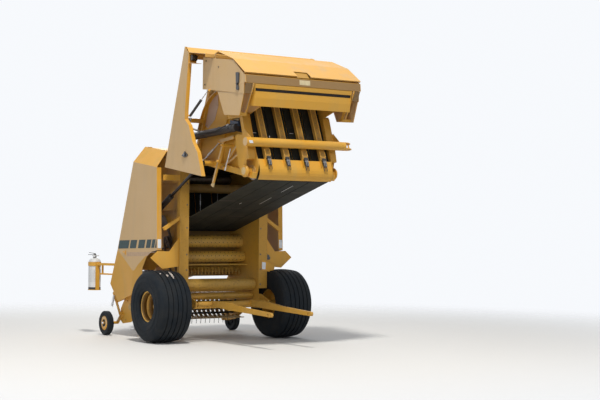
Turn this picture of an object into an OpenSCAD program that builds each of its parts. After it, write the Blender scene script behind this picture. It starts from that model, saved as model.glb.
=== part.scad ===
// Round baler with a belt chamber, standing on its wheels and jack with the gate open.
// X points forward, Y to the left side, Z up. Lengths are in millimetres.
// Profiles are drawn as [x, z] points measured from the wheel axle and the ground.
// Pieces of the gate are drawn with the gate shut and swung up by at_gate().

/* [Chamber] */
// Inside width of the bale chamber
chamber_w = 1180; // [1100:10:1240]
// Thickness of the side sheets
sheet_t = 6; // [4:1:8]
// Width of the rear posts across the machine
post_w = 140; // [110:5:160]
// Depth of the rear posts along the machine
post_d = 80; // [60:5:100]
// Height of the lower edge of the side sheets
sheet_low_z = 540; // [520:5:560]
// Height of the bend under the top cover
sheet_top_z = 2700; // [2680:5:2720]

/* [Gate] */
// Gate pivot, behind the axle
pivot_back = 70; // [60:1:80]
// Gate pivot, above the ground
pivot_z = 2600; // [2580:5:2620]
// Angle of the gate at rest, from shut
gate_open = 80; // [60:1:80]
// Gap between the shut gate and the rear posts
gate_gap = 25; // [15:1:35]
// Radius of the pivot pins
pivot_pin_r = 25; // [20:1:30]
// Half width of the side shields
shield_y = 1060; // [1040:5:1080]
// Half width of the net box
box_y = 920; // [900:5:940]
// Thickness of bent covers
cover_t = 4; // [3:0.5:5]

/* [Wheels] */
// Radius of the main tyres
tyre_r = 510; // [490:5:520]
// Width of the main tyres
tyre_w = 520; // [480:10:530]
// Gap between the tyres and the rear posts
tyre_gap = 9; // [6:1:20]
// Gap between the tyres and the guards over them
guard_gap = 20; // [15:1:40]
// Radius of the lip of the rim
rim_r = 222; // [205:1:235]
// Radius of the wheel spindle
spindle_r = 32; // [28:1:38]
// Side of the square axle beam
axle_w = 90; // [80:5:100]

/* [Belts] */
// Number of belts
belt_n = 4; // [4]
// Width of a belt
belt_w = 282; // [260:2:288]
// Thickness of a belt
belt_t = 8; // [6:1:10]

/* [Pickup] */
// Half width between the pickup side plates
pickup_y = 900; // [860:10:930]
// Reel shaft, ahead of the axle
reel_x = 1130; // [1100:10:1160]
// Reel shaft, above the ground
reel_z = 440; // [430:5:460]
// Radius to the tips of the tines
tine_r = 290; // [270:5:300]
// Radius of the stripper bands
band_r = 205; // [190:5:215]
// Number of stripper bands
band_n = 22; // [16:2:24]
// Radius of the gauge wheels
gauge_r = 180; // [160:5:184]

/* [Drawbar] */
// Hitch pin, ahead of the axle
hitch_x = 2750; // [2700:10:2850]
// Height of the hitch plates
hitch_z = 450; // [430:5:480]
// Radius of the hitch pin hole
hitch_r = 17; // [14:0.5:20]

/* [Hidden] */

gold = [0.83, 0.56, 0.12];
dark = [0.12, 0.12, 0.13];
steel = [0.6, 0.6, 0.6];

in_y = chamber_w / 2;
out_y = in_y + sheet_t;
axle_z = tyre_r;
track = 2 * (out_y + post_w + tyre_gap) + tyre_w;
pivot = [-pivot_back, pivot_z];
post_x = -35;
gate_x = post_x - gate_gap;
belt_pitch = chamber_w / belt_n;
run = 6;
seat = 0.3;
belt_gap = 0.7;

// Rollers as [x, z, radius]: those of the gate are given with the gate shut
g_low = [-140, 905, 118];
g_rear = [-1000, 1400, 80];
g_top = [-1080, 2180, 80];
f_drive = [680, 1690, 105];
f_top = [830, 2360, 70];
f_pivot = [pivot[0], pivot[1], 45];
f_pivot_r = [pivot[0], pivot[1], -45 - belt_t];
function snug(rs) = [for (r = rs) [r[0], r[1], r[2] + sign(r[2]) * belt_gap]];
function clipped(pts, t) = let (n = len(pts), a = pts[1] - pts[0], b = pts[n - 2] - pts[n - 1])
    concat([pts[0] + a / norm(a) * t], inner(pts), [pts[n - 1] + b / norm(b) * t]);
s_high = [490, 1425, 92];
s_mid = [420, 1200, 85];
s_big = [115, 800, 85];
s_low = [150, 630, 48];

// Drawbar and gearbox
tongue_z = 1120;
tongue_x = 900;
gear_x = 890;
gear_z = 1330;

// Pickup
lift_p = [620, 800];
gauge_x = 1560;
gauge_y = 1100;
gauge_w = 95;

// Lift cylinders
lift_y = 840;
lift_base = [960, 1603];
lift_lug = [-110, 1835];

// Jack
jack_x = 2350;
jack_y = 200;
jack_z = 660;

// Tip of the hitch and rear corner of the beam under the net box
hitch_nose = 60;
beam_x = -1305;
beam_z = 765;
beam_top = 840;

// Ramp
ramp_p = [-250, 540];
ramp_tip = [-1820, 470];
ramp_y = 320;

// Geometry helpers
function swing(p, a) = let (dx = p[0] - pivot[0], dz = p[1] - pivot[1])
    [pivot[0] + dx * cos(a) + dz * sin(a), pivot[1] - dx * sin(a) + dz * cos(a)];
function polar(c, r, a) = [c[0] + r * cos(a), c[1] + r * sin(a)];
function bar_pts(a, b, w) = let (d = b - a, n = [-d[1], d[0]] / norm(d) * w / 2)
    [a + n, b + n, b - n, a - n];
function heading(a, b) = atan2(b[1] - a[1], b[0] - a[0]);

// Corner offset of a bent strip: the mitre at point i for a strip drawn along pts
function mitre(pts, i, t) = let (
    n = len(pts),
    a = heading(pts[max(i - 1, 0)], pts[max(i, 1)]),
    b = heading(pts[min(i, n - 2)], pts[min(i + 1, n - 1)]),
    d = (b - a) / 2 - (b - a > 180 ? 180 : b - a < -180 ? -180 : 0))
    [pts[i][0] - t * sin(a + d) / cos(d), pts[i][1] + t * cos(a + d) / cos(d)];
function ribbon(pts, t) = concat(pts, [for (i = [len(pts) - 1:-1:0]) mitre(pts, i, t)]);

// A belt or chain laid round rollers [x, z, r], from the first to the last.
// A roller lies on the left of the belt, or on its right if r is negative.
function tangent_a(c, d) = heading(c, d) - asin((d[2] - c[2]) / norm([d[0] - c[0], d[1] - c[1]]));
function wrap(c, a, b) = let (turn = c[2] > 0 ? (b < a ? b - a + 360 : b - a) : (b > a ? b - a - 360 : b - a),
                              k = max(1, ceil(abs(turn) / 9)))
    [for (i = [0:k]) polar(c, c[2], a - 90 + turn * i / k)];
function laid(rs) = [for (i = [0:len(rs) - 1]) each
    i == 0 ? [polar(rs[0], rs[0][2], tangent_a(rs[0], rs[1]) - 90)] :
    i == len(rs) - 1 ? [polar(rs[i], rs[i][2], tangent_a(rs[i - 1], rs[i]) - 90)] :
    wrap(rs[i], tangent_a(rs[i - 1], rs[i]), tangent_a(rs[i], rs[i + 1]))];
function looped(rs) = let (n = len(rs)) [for (i = [0:n - 1]) each
    wrap(rs[i], tangent_a(rs[(i + n - 1) % n], rs[i]), tangent_a(rs[i], rs[(i + 1) % n]))];
function inner(pts) = [for (i = [1:len(pts) - 2]) pts[i]];
function grown(rs, t) = [for (r = rs) [r[0], r[1], r[2] + t]];

module sheet(pts, y0, y1) translate([0, y1, 0]) rotate([90, 0, 0]) linear_extrude(y1 - y0) polygon(pts);
module shaft(c, r, y0, y1) translate([c[0], y1, c[1]]) rotate([90, 0, 0]) cylinder(r = r, h = y1 - y0, $fn = 48);
module rod(p, q, r) {
    d = q - p;
    translate(p) rotate([0, acos(d[2] / norm(d)), atan2(d[1], d[0])]) cylinder(r = r, h = norm(d), $fn = 32);
}
module beam(p, q, w, h) {
    d = q - p;
    translate(p) rotate([0, atan2(-d[2], norm([d[0], d[1]])), atan2(d[1], d[0])])
        translate([0, -w / 2, -h / 2]) cube([norm(d), w, h]);
}
module slab(x, y, z) translate([x[0], y[0], z[0]]) cube([x[1] - x[0], y[1] - y[0], z[1] - z[0]]);
module both() { children(); mirror([0, 1, 0]) children(); }
module side(right) { if (right) mirror([0, 1, 0]) children(); else children(); }
module at_gate()
    translate([pivot[0], 0, pivot[1]]) rotate([0, gate_open, 0]) translate([-pivot[0], 0, -pivot[1]]) children();

// The frame origin is midway along the parked machine
front_x = hitch_x + hitch_nose;
rear_x = swing([beam_x, beam_z], gate_open)[0];
axle_x = -(front_x + rear_x) / 2;
module place() translate([axle_x, 0, 0]) children();

// Chamber side: sheet, rear post, pivot ears, front lugs
side_pts = [[post_x, sheet_low_z], [post_x, 2560], [30, sheet_top_z - 40], [200, sheet_top_z + 2], [830, 2794],
            [960, 2400], [1010, 1500], [980, 1020], [760, 840], [600, 640], [400, sheet_low_z]];
ear_t = 12;
arm_t = 25;
module chamber(right) color(gold) side(right) {
    difference() {
        union() {
            sheet(side_pts, in_y, out_y);
            slab([post_x, post_x + post_d], [out_y, out_y + post_w], [sheet_low_z + 200, 2515]);
            for (y = [out_y + 12, out_y + 78])
                sheet([[-130, 2640], [-90, 2668], [-40, 2668], [45, 2600], [45, 2500], [post_x, 2480],
                       [-100, 2535], [-130, 2565]], y, y + ear_t);
            // Ribs pressed out of the sheet
            for (p = [[[120, 1900], [900, 1900]], [[120, 2300], [900, 2300]], [[250, 1000], [900, 1080]]])
                sheet(bar_pts(p[0], p[1], 60), out_y, out_y + 22);
            // Ears for the pickup
            sheet([for (a = [0:20:340]) polar(lift_p, 48, a)], out_y, out_y + 12);
            shaft(lift_p, 20, out_y + 10, out_y + 50);
            // Base of the lift cylinder
            shaft(lift_base, 40, out_y, out_y + 20);
            shaft(lift_base, 20, out_y + 15, lift_y + 40);
            shaft(pivot, pivot_pin_r, out_y + 12, out_y + 96);
        }
        slab([post_x + 6, post_x + post_d - 6], [out_y + 6, out_y + post_w - 6], [sheet_low_z + 190, 2470]);
    }
}
module chamber_left() chamber(false);
module chamber_right() chamber(true);

module cross_beams() color(gold) {
    shaft([330, 2200], 65, -in_y, in_y);
    shaft([700, 2560], 40, -in_y, in_y);
    slab([640, 720], [-in_y, in_y], [1290, 1370]);
    slab([700, 790], [-in_y, in_y], [905, 990]);
    // Front wall of the chamber
    slab([806, 812], [-in_y, in_y], [905, 1640]);
    slab([880, 960], [-in_y, in_y], [tongue_z - 60, tongue_z + 60]);
}

module axle() color(gold) {
    slab([-axle_w / 2, axle_w / 2], [-out_y - 40, out_y + 40], [axle_z - axle_w / 2, axle_z + axle_w / 2 - 20]);
    both() {
        difference() {
            sheet([[-300, 500], [-300, 580], [-90, 660], [260, 660], [260, axle_z - 60], [-90, axle_z - 60]],
                  out_y, out_y + 16);
            shaft(ramp_p, 20 + seat, out_y - 1, out_y + 17);
        }
        shaft([0, axle_z], 45, out_y + 16, track / 2 - 100);
        shaft([0, axle_z], spindle_r, track / 2 - 100, track / 2 + 60);
    }
}

// Wheels: deep rims and ribbed tyres, turned about the axle
rim_w = 400;
dish_y = -70;
module rim(right) color(gold) side(right) translate([0, track / 2, axle_z]) rotate([-90, 0, 0]) {
    rotate_extrude($fn = 72) polygon([
        [rim_r - 18, -rim_w / 2], [rim_r, -rim_w / 2], [rim_r, -rim_w / 2 + 12], [rim_r - 16, -rim_w / 2 + 22],
        [rim_r - 30, -60], [rim_r - 30, 60], [rim_r - 16, rim_w / 2 - 22], [rim_r, rim_w / 2 - 12],
        [rim_r, rim_w / 2], [rim_r - 18, rim_w / 2], [rim_r - 26, rim_w / 2 - 24], [rim_r - 42, 60],
        [rim_r - 42, dish_y + 12], [130, dish_y + 22], [95, dish_y + 12], [75, dish_y + 12],
        [75, 45], [55, 70], [spindle_r + seat, 70], [spindle_r + seat, -95], [75, -95], [75, dish_y],
        [100, dish_y], [130, dish_y + 10], [rim_r - 42, dish_y], [rim_r - 42, -60],
        [rim_r - 26, -rim_w / 2 + 24]]);
}
module rim_left() rim(false);
module rim_right() rim(true);

rib_n = 6;
groove_d = 16;
groove_w = 14;
tread_w = tyre_w - 90;
module tyre(right) color(dark) side(right) translate([0, track / 2, axle_z]) rotate([-90, 0, 0]) {
    pitch = tread_w / rib_n;
    crown = function(y) tyre_r - 22 * pow(2 * y / tread_w, 2);
    tread = [for (i = [0:rib_n - 1]) let (a = -tread_w / 2 + i * pitch + (i == 0 ? 0 : groove_w / 2),
                                          b = -tread_w / 2 + (i + 1) * pitch - (i == rib_n - 1 ? 0 : groove_w / 2))
        each [if (i > 0) [crown(a) - groove_d, a], [crown(a), a], [crown(b), b],
              if (i < rib_n - 1) [crown(b) - groove_d, b]]];
    mid_r = (rim_r + tyre_r) / 2 - 16;
    wall_r = (tyre_r - rim_r) / 2 + 4;
    bulge = [for (a = [-62:14:64]) [mid_r + wall_r * sin(a), tyre_w / 2 - 52 + 52 * cos(a)]];
    wall = [for (p = bulge) if (p[0] < tyre_r - 30) p];
    bead = [[rim_r - 14, rim_w / 2 - 24], [rim_r + seat, rim_w / 2 - 13], [rim_r + seat, rim_w / 2 + 6]];
    cavity = [[rim_r - 14, rim_w / 2 - 50], [mid_r - 50, tyre_w / 2 - 40], [mid_r + 50, tyre_w / 2 - 34],
              [tyre_r - 40, tyre_w / 2 - 80],
              [tyre_r - groove_d - 20, tyre_w / 2 - 130]];
    outer = concat(bead, wall);
    rotate_extrude($fn = 96) polygon(concat(
        [for (p = outer) [p[0], -p[1]]], tread, [for (i = [len(outer) - 1:-1:0]) outer[i]],
        cavity, [for (i = [len(cavity) - 1:-1:0]) [cavity[i][0], -cavity[i][1]]]));
}
module tyre_left() tyre(false);
module tyre_right() tyre(true);

// Drawbar: two arms that meet in a box beam, with the hitch plates at its end
hitch_back = hitch_x - 150;
drop_x = hitch_x - 500;
module tongue() color(gold) {
    difference() {
        union() {
            both() beam([tongue_x, 480, tongue_z], [2120, 75, 720], 90, 120);
            slab([1950, drop_x + 1], [-70, 70], [640, 780]);
            sheet([[drop_x, 640], [hitch_back - 15, hitch_z - 60], [hitch_back, hitch_z - 60], [hitch_back, 780],
                   [drop_x, 780]], -70, 70);
        }
        slab([tongue_x - 100, 960 + seat], [-700, 700], [900, 1300]);
        sheet([[1980, 650], [drop_x, 650], [hitch_back - 15, hitch_z - 40], [hitch_back - 15, 770], [1980, 770]],
              -60, 60);
    }
    // Mount of the jack
    shaft([jack_x, jack_z], 34, 69, jack_y - 45 - seat);
    // Rest of the driveline
    slab([pto_b[0] - 30, pto_b[0] - 10], [-15, 15], [779, pto_b[2] - 46]);
    slab([pto_b[0] - 50, pto_b[0] + 10], [-60, 60], [pto_b[2] - 50, pto_b[2] - 42]);
}
module hitch() color(steel) difference() {
    union() {
        for (z = [hitch_z - 45, hitch_z + 25])
            translate([0, 0, z]) linear_extrude(22) union() {
                translate([hitch_x, 0]) circle(r = hitch_nose, $fn = 48);
                translate([hitch_back, -60]) square([150, 120]);
            }
        slab([hitch_back, hitch_back + 60], [-60, 60], [hitch_z - 45, hitch_z + 47]);
    }
    translate([hitch_x, 0, hitch_z - 60]) cylinder(r = hitch_r, h = 130, $fn = 48);
}
module jack() color(dark) {
    difference() {
        union() {
            slab([jack_x - 35, jack_x + 35], [jack_y - 35, jack_y + 35], [330, 900]);
            shaft([jack_x, jack_z], 55, jack_y - 45, jack_y - 35);
        }
        slab([jack_x - 28 - seat, jack_x + 28 + seat], [jack_y - 28 - seat, jack_y + 28 + seat], [320, 860]);
    }
    translate([jack_x, jack_y, 900]) cylinder(r = 14, h = 30, $fn = 24);
    rod([jack_x, jack_y, 925], [jack_x, jack_y + 150, 925], 9);
    rod([jack_x, jack_y + 150, 920], [jack_x, jack_y + 150, 1010], 11);
}
module jack_leg() color(steel) {
    slab([jack_x - 28, jack_x + 28], [jack_y - 28, jack_y + 28], [10, 700]);
    translate([jack_x, jack_y, 0]) cylinder(r = 90, h = 12, $fn = 48);
}

// Drive: gearbox on the front wall, cross shaft, driveline resting on the drawbar
module gearbox() color(dark) {
    slab([gear_x, gear_x + 190], [-120, 120], [gear_z - 120, gear_z + 120]);
    shaft([gear_x + 90, gear_z], 60, -170, 170);
    shaft([gear_x + 90, gear_z], 28, 160, in_y - seat);
    slab([gear_x - 60, gear_x + 70], [-150, 150], [tongue_z + 60, gear_z - 60]);
}
pto_a = [gear_x + 190, 0, gear_z];
pto_b = [hitch_x - 290, 0, 895];
pto_r = 17.5;
yoke_l = 120;
bore_l = 70;
module driveline() color(dark) {
    mid = pto_a + (pto_b - pto_a) * 0.5;
    rod(pto_a, pto_a + [60, 0, 0], 30);
    translate(pto_a + [75, 0, 0]) sphere(r = 42, $fn = 32);
    rod(pto_a + [75, 0, 0], mid, 40);
    rod(mid, pto_b, 32);
    translate(pto_b) sphere(r = 40, $fn = 32);
    difference() {
        rod(pto_b, pto_b + [yoke_l, 0, 0], 34);
        rod(pto_b + [yoke_l - bore_l, 0, 0], pto_b + [yoke_l + 1, 0, 0], pto_r);
    }
}

// Chains and sprockets on the left side, as [x, z, radius] of each sprocket
chain_y = out_y + 40;
loops = [[[gear_x + 90, gear_z, 70], f_drive - [0, 0, 5], [s_high[0], s_high[1], 80]],
         [[s_big[0], s_big[1], 56], [s_mid[0], s_mid[1], 75], [s_high[0], s_high[1], 60]]];
module sprocket(c, y) {
    n = round(c[2] * 6.283 / 32);
    sheet([for (i = [0:n - 1]) each [
               polar(c, c[2] - 6, 360 * (i - 0.32) / n), polar(c, c[2] + 4, 360 * (i - 0.1) / n),
               polar(c, c[2] + 4, 360 * (i + 0.1) / n), polar(c, c[2] - 6, 360 * (i + 0.32) / n)]],
          y - 4, y + 4);
}
module chain_drive() color(dark) for (k = [0, 1]) {
    y = chain_y + 34 * k;
    for (c = loops[k]) {
        sprocket(c, y);
        shaft(c, 26, out_y + seat, y + 12);
    }
    difference() {
        sheet(looped(grown(loops[k], 9)), y - 9, y + 9);
        sheet(looped(grown(loops[k], -7)), y - 10, y + 10);
    }
}

// Rollers fixed in the frame, with their shafts through the side sheets
roller_t = 8;
module roller(c, end = in_y - seat) {
    y = in_y - run;
    difference() {
        shaft(c, c[2], -y, y);
        shaft(c, c[2] - roller_t, -y + 12, y - 12);
    }
    both() shaft(c, 24, y - 13, end);
}
module rollers_front() color(dark) {
    roller(f_drive);
    roller(f_top);
    roller(f_pivot, out_y + 12);
}
module starter_rollers() color(gold) for (c = [s_high, s_mid, s_big, s_low]) roller(c);
finger_n = 20;
module feed_fingers() color(gold) {
    shaft([300, 1085], 12, -in_y, in_y);
    shaft([560, 1010], 45, -in_y, in_y);
    for (i = [0:finger_n - 1]) {
        y = -in_y + chamber_w * (i + 0.5) / finger_n;
        sheet([[560, 1030], [500, 1040], [455, 1000], [450, 940], [470, 930], [490, 985], [560, 990]],
              y - 5, y + 5);
    }
}

// Front side shields: one bent skin, cut to its outline, with flanges on its rear and front edges
door_pts = [[37, 1299], [78, 2479], [162, 2722], [842, 2822], [800, 2591], [1291, 1294], [1628, 769],
            [1386, 506], [946, 626], [615, 776], [524, 1041], [300, 1180]];
door_slope = atan((2812 - 2715) / (842 - 162));
door_hinge = [500, 2715 + (500 - 162) * tan(door_slope)];
door_y = 850;
pin_r = 7;
knuckles = [-230, 240];
function hinge_at(s) = [door_hinge[0] + s * cos(door_slope), door_y, door_hinge[1] + s * sin(door_slope)];
module front_shield(right) color(gold) side(right) {
    difference() {
        union() {
            door_skin();
            for (s = knuckles) rod(hinge_at(s - 20), hinge_at(s + 20), 12);
        }
        for (s = knuckles) {
            rod(hinge_at(s - 21), hinge_at(s + 21), pin_r + seat);
            rod(hinge_at(s - 52), hinge_at(s - 20.5), 20);
        }
    }
}
module door_skin() {
    intersection() {
        translate([500, 0, door_hinge[1]]) rotate([0, -door_slope, 0]) translate([-700, 0, 0])
            rotate([90, 0, 90]) linear_extrude(2100)
            polygon(ribbon([[door_y, 0], [shield_y, -228], [shield_y, -1500], [shield_y - 55, -2600]], cover_t));
        sheet(door_pts, 700, 1200);
    }
    sheet(bar_pts([39, 1299], [80, 2475], cover_t), shield_y - 75, shield_y + cover_t / 2);
    sheet(bar_pts([800, 2580], [1289, 1299], cover_t), shield_y - 40, shield_y + cover_t / 2);
}
module shield_left() front_shield(false);
module shield_right() front_shield(true);

// Brackets from the rear post out to the shield, with the plate over the tyre
guard_z = 2 * tyre_r + guard_gap;
module bracket(right) color(gold) side(right) {
    y0 = out_y + post_w;
    slab([-20, 40], [y0, shield_y - 84], [2290, 2370]);
    difference() {
        beam([0, y0 - 20, 1768], [0, shield_y - 84, 1600], 50, 45);
        slab([-50, 50], [y0 - 90, y0], [1500, 1900]);
    }
    rotate([90, 0, 90]) translate([0, 0, -10]) linear_extrude(8)
        polygon([[y0, 1480], [885, 1283], [1076, 1291], [1184, 1193],
                 [1000, guard_z], [900, guard_z + 10], [y0, guard_z + 30]]);
    sheet(ribbon([[-3, 1245], [480, 1262], [712, 1000]], cover_t), y0, shield_y - 45);
}
module bracket_left() bracket(false);
module bracket_right() bracket(true);

cover_y = door_y - 18;
module front_cover() color(gold) {
    sheet(ribbon([[170, sheet_top_z - 2], [830, 2794 + seat], [1020, 2330], [1180, 1560]], cover_t),
          -cover_y, cover_y);
    // Pins of the doors on their ears
    both() for (s = knuckles) {
        rod(hinge_at(s - 45), hinge_at(s + 20), pin_r);
        translate(hinge_at(s - 45)) rotate([0, -door_slope, 0]) translate([0, -40, -16]) cube([20, 48, 24]);
    }
}

// Lift cylinders beside the chamber
rest_lug = swing(lift_lug, gate_open);
lift_d = (rest_lug - lift_base) / norm(rest_lug - lift_base);
barrel_l = 1030;
lift_end = 50;
module lift_barrel(right) color(dark) side(right) difference() {
    union() {
        rod([lift_base[0], lift_y, lift_base[1]],
            [lift_base[0] + lift_d[0] * barrel_l, lift_y, lift_base[1] + lift_d[1] * barrel_l], 42);
        shaft(lift_base, 38, lift_y - 25, lift_y + 25);
    }
    shaft(lift_base, 20 + seat, lift_y - 45, lift_y + 45);
    rod([lift_base[0] + lift_d[0] * lift_end, lift_y, lift_base[1] + lift_d[1] * lift_end],
        [lift_base[0] + lift_d[0] * (barrel_l + 5), lift_y, lift_base[1] + lift_d[1] * (barrel_l + 5)],
        22 + seat);
}
module lift_rod(right) color(steel) side(right) {
    inside = barrel_l - lift_end;
    rod([lift_base[0] + lift_d[0] * inside, lift_y, lift_base[1] + lift_d[1] * inside],
        [rest_lug[0], lift_y, rest_lug[1]], 22);
    shaft(rest_lug, 36, lift_y - 25, lift_y + 25);
    shaft(rest_lug, 18, lift_y - 10, lift_y + 34);
}
module lift_barrel_left() lift_barrel(false);
module lift_barrel_right() lift_barrel(true);
module lift_rod_left() lift_rod(false);
module lift_rod_right() lift_rod(true);

// Gate sides
gate_pts = [[gate_x, 2500], [gate_x, 830], [-95, 790], [-160, 770], [-250, 765], [-420, 880], [-870, 1130],
            [-1010, beam_top + 5], [-1300, beam_top + 5], [-1300, 1100], [-1185, 1500], [-1190, 2200],
            [-1090, 2300], [-140, 2500]];
rail = 70;
module gate_side(right) color(gold) side(right) at_gate() difference() {
    union() {
        sheet(gate_pts, in_y, out_y);
        slab([gate_x - 80, gate_x], [out_y, out_y + 65], [790, 2490]);
        sheet([[gate_x, 2400], [gate_x, 2480], [-20, 2560], [-20, 2630], [-70, 2655], [-125, 2630], [-140, 2560],
               [gate_x - 80, 2400]], out_y + 38, out_y + 38 + arm_t);
        // Lower rail along the belts and ribs of the side
        sheet(bar_pts([-300, 881], [-420, 930], rail), out_y, out_y + 110);
        sheet([[-66, 905], [-66, 968], [-190, 1094], [-450, 1214], [-560, 1250], [-595, 1180], [-595, 1040],
               [-420, 940], [-300, 905]], out_y + 104, out_y + 110);
        sheet(bar_pts([-420, 930], [-860, 1170], rail), out_y, out_y + 110);
        sheet(bar_pts([-860, 1150], [-790, 1500], rail), out_y, out_y + 110);
        sheet(bar_pts([-140, 2380], [-1120, 2190], 50), out_y, out_y + 40);
        sheet(bar_pts([-140, 1700], [-1150, 1650], 40), out_y, out_y + 30);
        // Lug of the lift cylinder
        slab([-150, gate_x], [out_y, out_y + 66], [1740, 1930]);
        shaft(lift_lug, 32, out_y + 20, lift_y - 31);
    }
    shaft(pivot, pivot_pin_r + seat, out_y, out_y + 100);
}
module gate_left() gate_side(false);
module gate_right() gate_side(true);

// Directions along the lower run of the belts and out of it
run_a = tangent_a(grown([g_rear], belt_t)[0], grown([g_low], belt_t)[0]);
run_n = [sin(run_a), -cos(run_a)];
run_0 = polar(g_low, g_low[2] + belt_t, run_a - 90);
function on_run(s, n) = run_0 - [cos(run_a), sin(run_a)] * s + run_n * n;
slat_n = [32, 80];
slat_s = [108, 905];
tube_s = 300;
tube_c = on_run(tube_s, slat_n[1] + 60 + seat);
module gate_tube() color(gold) at_gate() {
    difference() {
        shaft(tube_c, 60, -in_y - 200, in_y + 200);
        shaft(tube_c, 54, -in_y - 210, in_y + 210);
    }
    both() difference() {
        sheet(bar_pts(tube_c, [-640, 1040], 100), out_y + 110, out_y + 120);
        shaft(tube_c, 54, out_y, out_y + 200);
    }
}
module slats() color(gold) at_gate() for (i = [0:belt_n - 1]) {
    y = -in_y + belt_pitch * (i + 0.5);
    for (e = [[-45, -39], [39, 45]])
        sheet([on_run(slat_s[0], slat_n[0]), on_run(slat_s[1], slat_n[0]),
               on_run(slat_s[1], slat_n[1]), on_run(slat_s[0], slat_n[1])], y + e[0], y + e[1]);
    sheet([on_run(slat_s[0], slat_n[1] - 6), on_run(slat_s[1], slat_n[1] - 6),
           on_run(slat_s[1], slat_n[1]), on_run(slat_s[0], slat_n[1])], y - 40, y + 40);
}
plate_r = g_low[2] + belt_t + 36;
module gate_plate() color(gold) at_gate() {
    pts = concat([on_run(105, 36)], [for (a = [run_a - 90:13:run_a - 90 + 66]) polar(g_low, plate_r, a)]);
    sheet(ribbon(pts, -cover_t * 1.5), -in_y + 8, in_y - 8);
    // Gussets that carry on from the slats
    end = slat_s[0] - seat;
    for (i = [0:belt_n - 1], e = [[-45, -39], [39, 45]])
        sheet([on_run(end, 39), on_run(end, 78), on_run(50, 78), on_run(-5, 39)],
              -in_y + belt_pitch * (i + 0.5) + e[0], -in_y + belt_pitch * (i + 0.5) + e[1]);
}
module gate_rollers() color(dark) at_gate() for (c = [g_low, g_rear, g_top]) roller(c);
module gate_beam() color(gold) at_gate() {
    end_y = in_y + 180;
    sheet(ribbon([[-1020, 830], [-1012, 765], [-1120, 765], [-1205, 775], [-1205, beam_top]], -5),
          -end_y, end_y);
    sheet(ribbon([[-1245, 800], [-1245, 765], [-1300, 765], [-1300, 800]], -5), -end_y, end_y);
    both() slab([beam_x, -1010], [end_y - 6, end_y], [beam_z, 860]);
    both() slab([beam_x + 10, -1015], [out_y, out_y + 6], [beam_z + 25, beam_top + 60]);
}
module gate_cylinders() color(dark) at_gate() both() {
    shaft([-425, 2330], 30, out_y + 40, 720);
    shaft([-672, 1250], 30, out_y, 720);
    rod([-416, 720, 2369], [-681, 720, 1211], 52);
    slab([-762, -620], [out_y, out_y + 60], [1210, 1425]);
}
module gate_latches() color(gold) at_gate() both() {
    y = out_y + post_w + 8;
    sheet(bar_pts([-430, 1460], [130, 1625], 45), y, y + 16);
    sheet([[125, 1602], [185, 1615], [170, 1670], [122, 1646]], y, y + 16);
    shaft([-410, 1466], 22, out_y, y + 4);
}

// Rear side shields: long tapered skins with a flange on the inner edge
gs_pts = [[45, 2478], [18, 1429], [-278, 1604], [-395, 1761], [-610, 1915], [-679, 2043], [-801, 2060],
          [-1411, 2097], [-1582, 2107], [-1660, 2231]];
module gate_shield(right) color(gold) side(right) at_gate() {
    sheet(gs_pts, shield_y - cover_t, shield_y);
    sheet(ribbon([for (i = [1:8]) gs_pts[i]], cover_t), shield_y - 58, shield_y);
    sheet(ribbon([gs_pts[9] + [2, 0], gs_pts[0]], -cover_t), shield_y - 40, shield_y);
    for (p = [[-300, 2330], [-650, 2270]])
        slab([p[0] - 30, p[0] + 30], [out_y + 40, shield_y - cover_t], [p[1] - 30, p[1] + 30]);
}
module gate_shield_left() gate_shield(false);
module gate_shield_right() gate_shield(true);

lid_pivot = [-1600, 1620];

// Net box across the rear of the gate, its lid and the strip above
module gate_strip() color(gold) at_gate()
    sheet(ribbon([[-1500, 2215], [-1655, 2180], [-1590, 2100], [-1605, 1650], [-1560, 1650]], cover_t),
          -shield_y + cover_t + seat, shield_y - cover_t - seat);
module net_box() color(gold) at_gate() {
    both() sheet([[-1543, 1944], [-1571, 1138], [-1410, 820], [-1407, 794], [beam_x - 3, beam_z + 1],
                  [beam_x, beam_top - 35], [-1160, 787], [-1130, 1560], [-1114, 1871]], box_y - cover_t, box_y);
    both() sheet([[-1127, 1476], [-1163, 800], [-870, 850], [-835, 1242]], box_y - 12, box_y - cover_t);
    // Ears and pins of the lid
    both() {
        sheet(bar_pts([-1535, 1600], lid_pivot, 16), box_y - cover_t, box_y);
        shaft(lid_pivot, 8, box_y - cover_t, box_y);
        shaft(lid_pivot, 5, box_y - 1, box_y + 8);
    }
    sheet(ribbon([[-1410, 795], [beam_x - 1.1 - seat, beam_z + 1]], cover_t), -box_y + 4, box_y - 4);
    sheet(ribbon([[-1195, 1600], [-1560, 1640]], cover_t), -box_y + 4, box_y - 4);
    both() slab([-1180, -1120], [out_y, box_y - cover_t], [1480, 1540]);
    both() slab([-1200, -1140], [out_y, box_y - cover_t], [1820, 1870]);
}
module net_lid() color(gold) at_gate() {
    difference() {
        sheet(ribbon([[-1610, 1630], [-1650, 1540], [-1585, 1138], [-1440, 811], [-1425, 825]], -cover_t),
              -box_y - 8, box_y + 8);
        sheet([[-1600, 760], [-1400, 760], [-1400, 900], [-1520, 930], [-1600, 930]], -110, 110);
    }
    both() difference() {
        sheet(bar_pts(lid_pivot + [4, 6], [-1622, 1592], 22), box_y + 1, box_y + 8);
        shaft(lid_pivot, 5 + seat, box_y, box_y + 9);
    }
}

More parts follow.
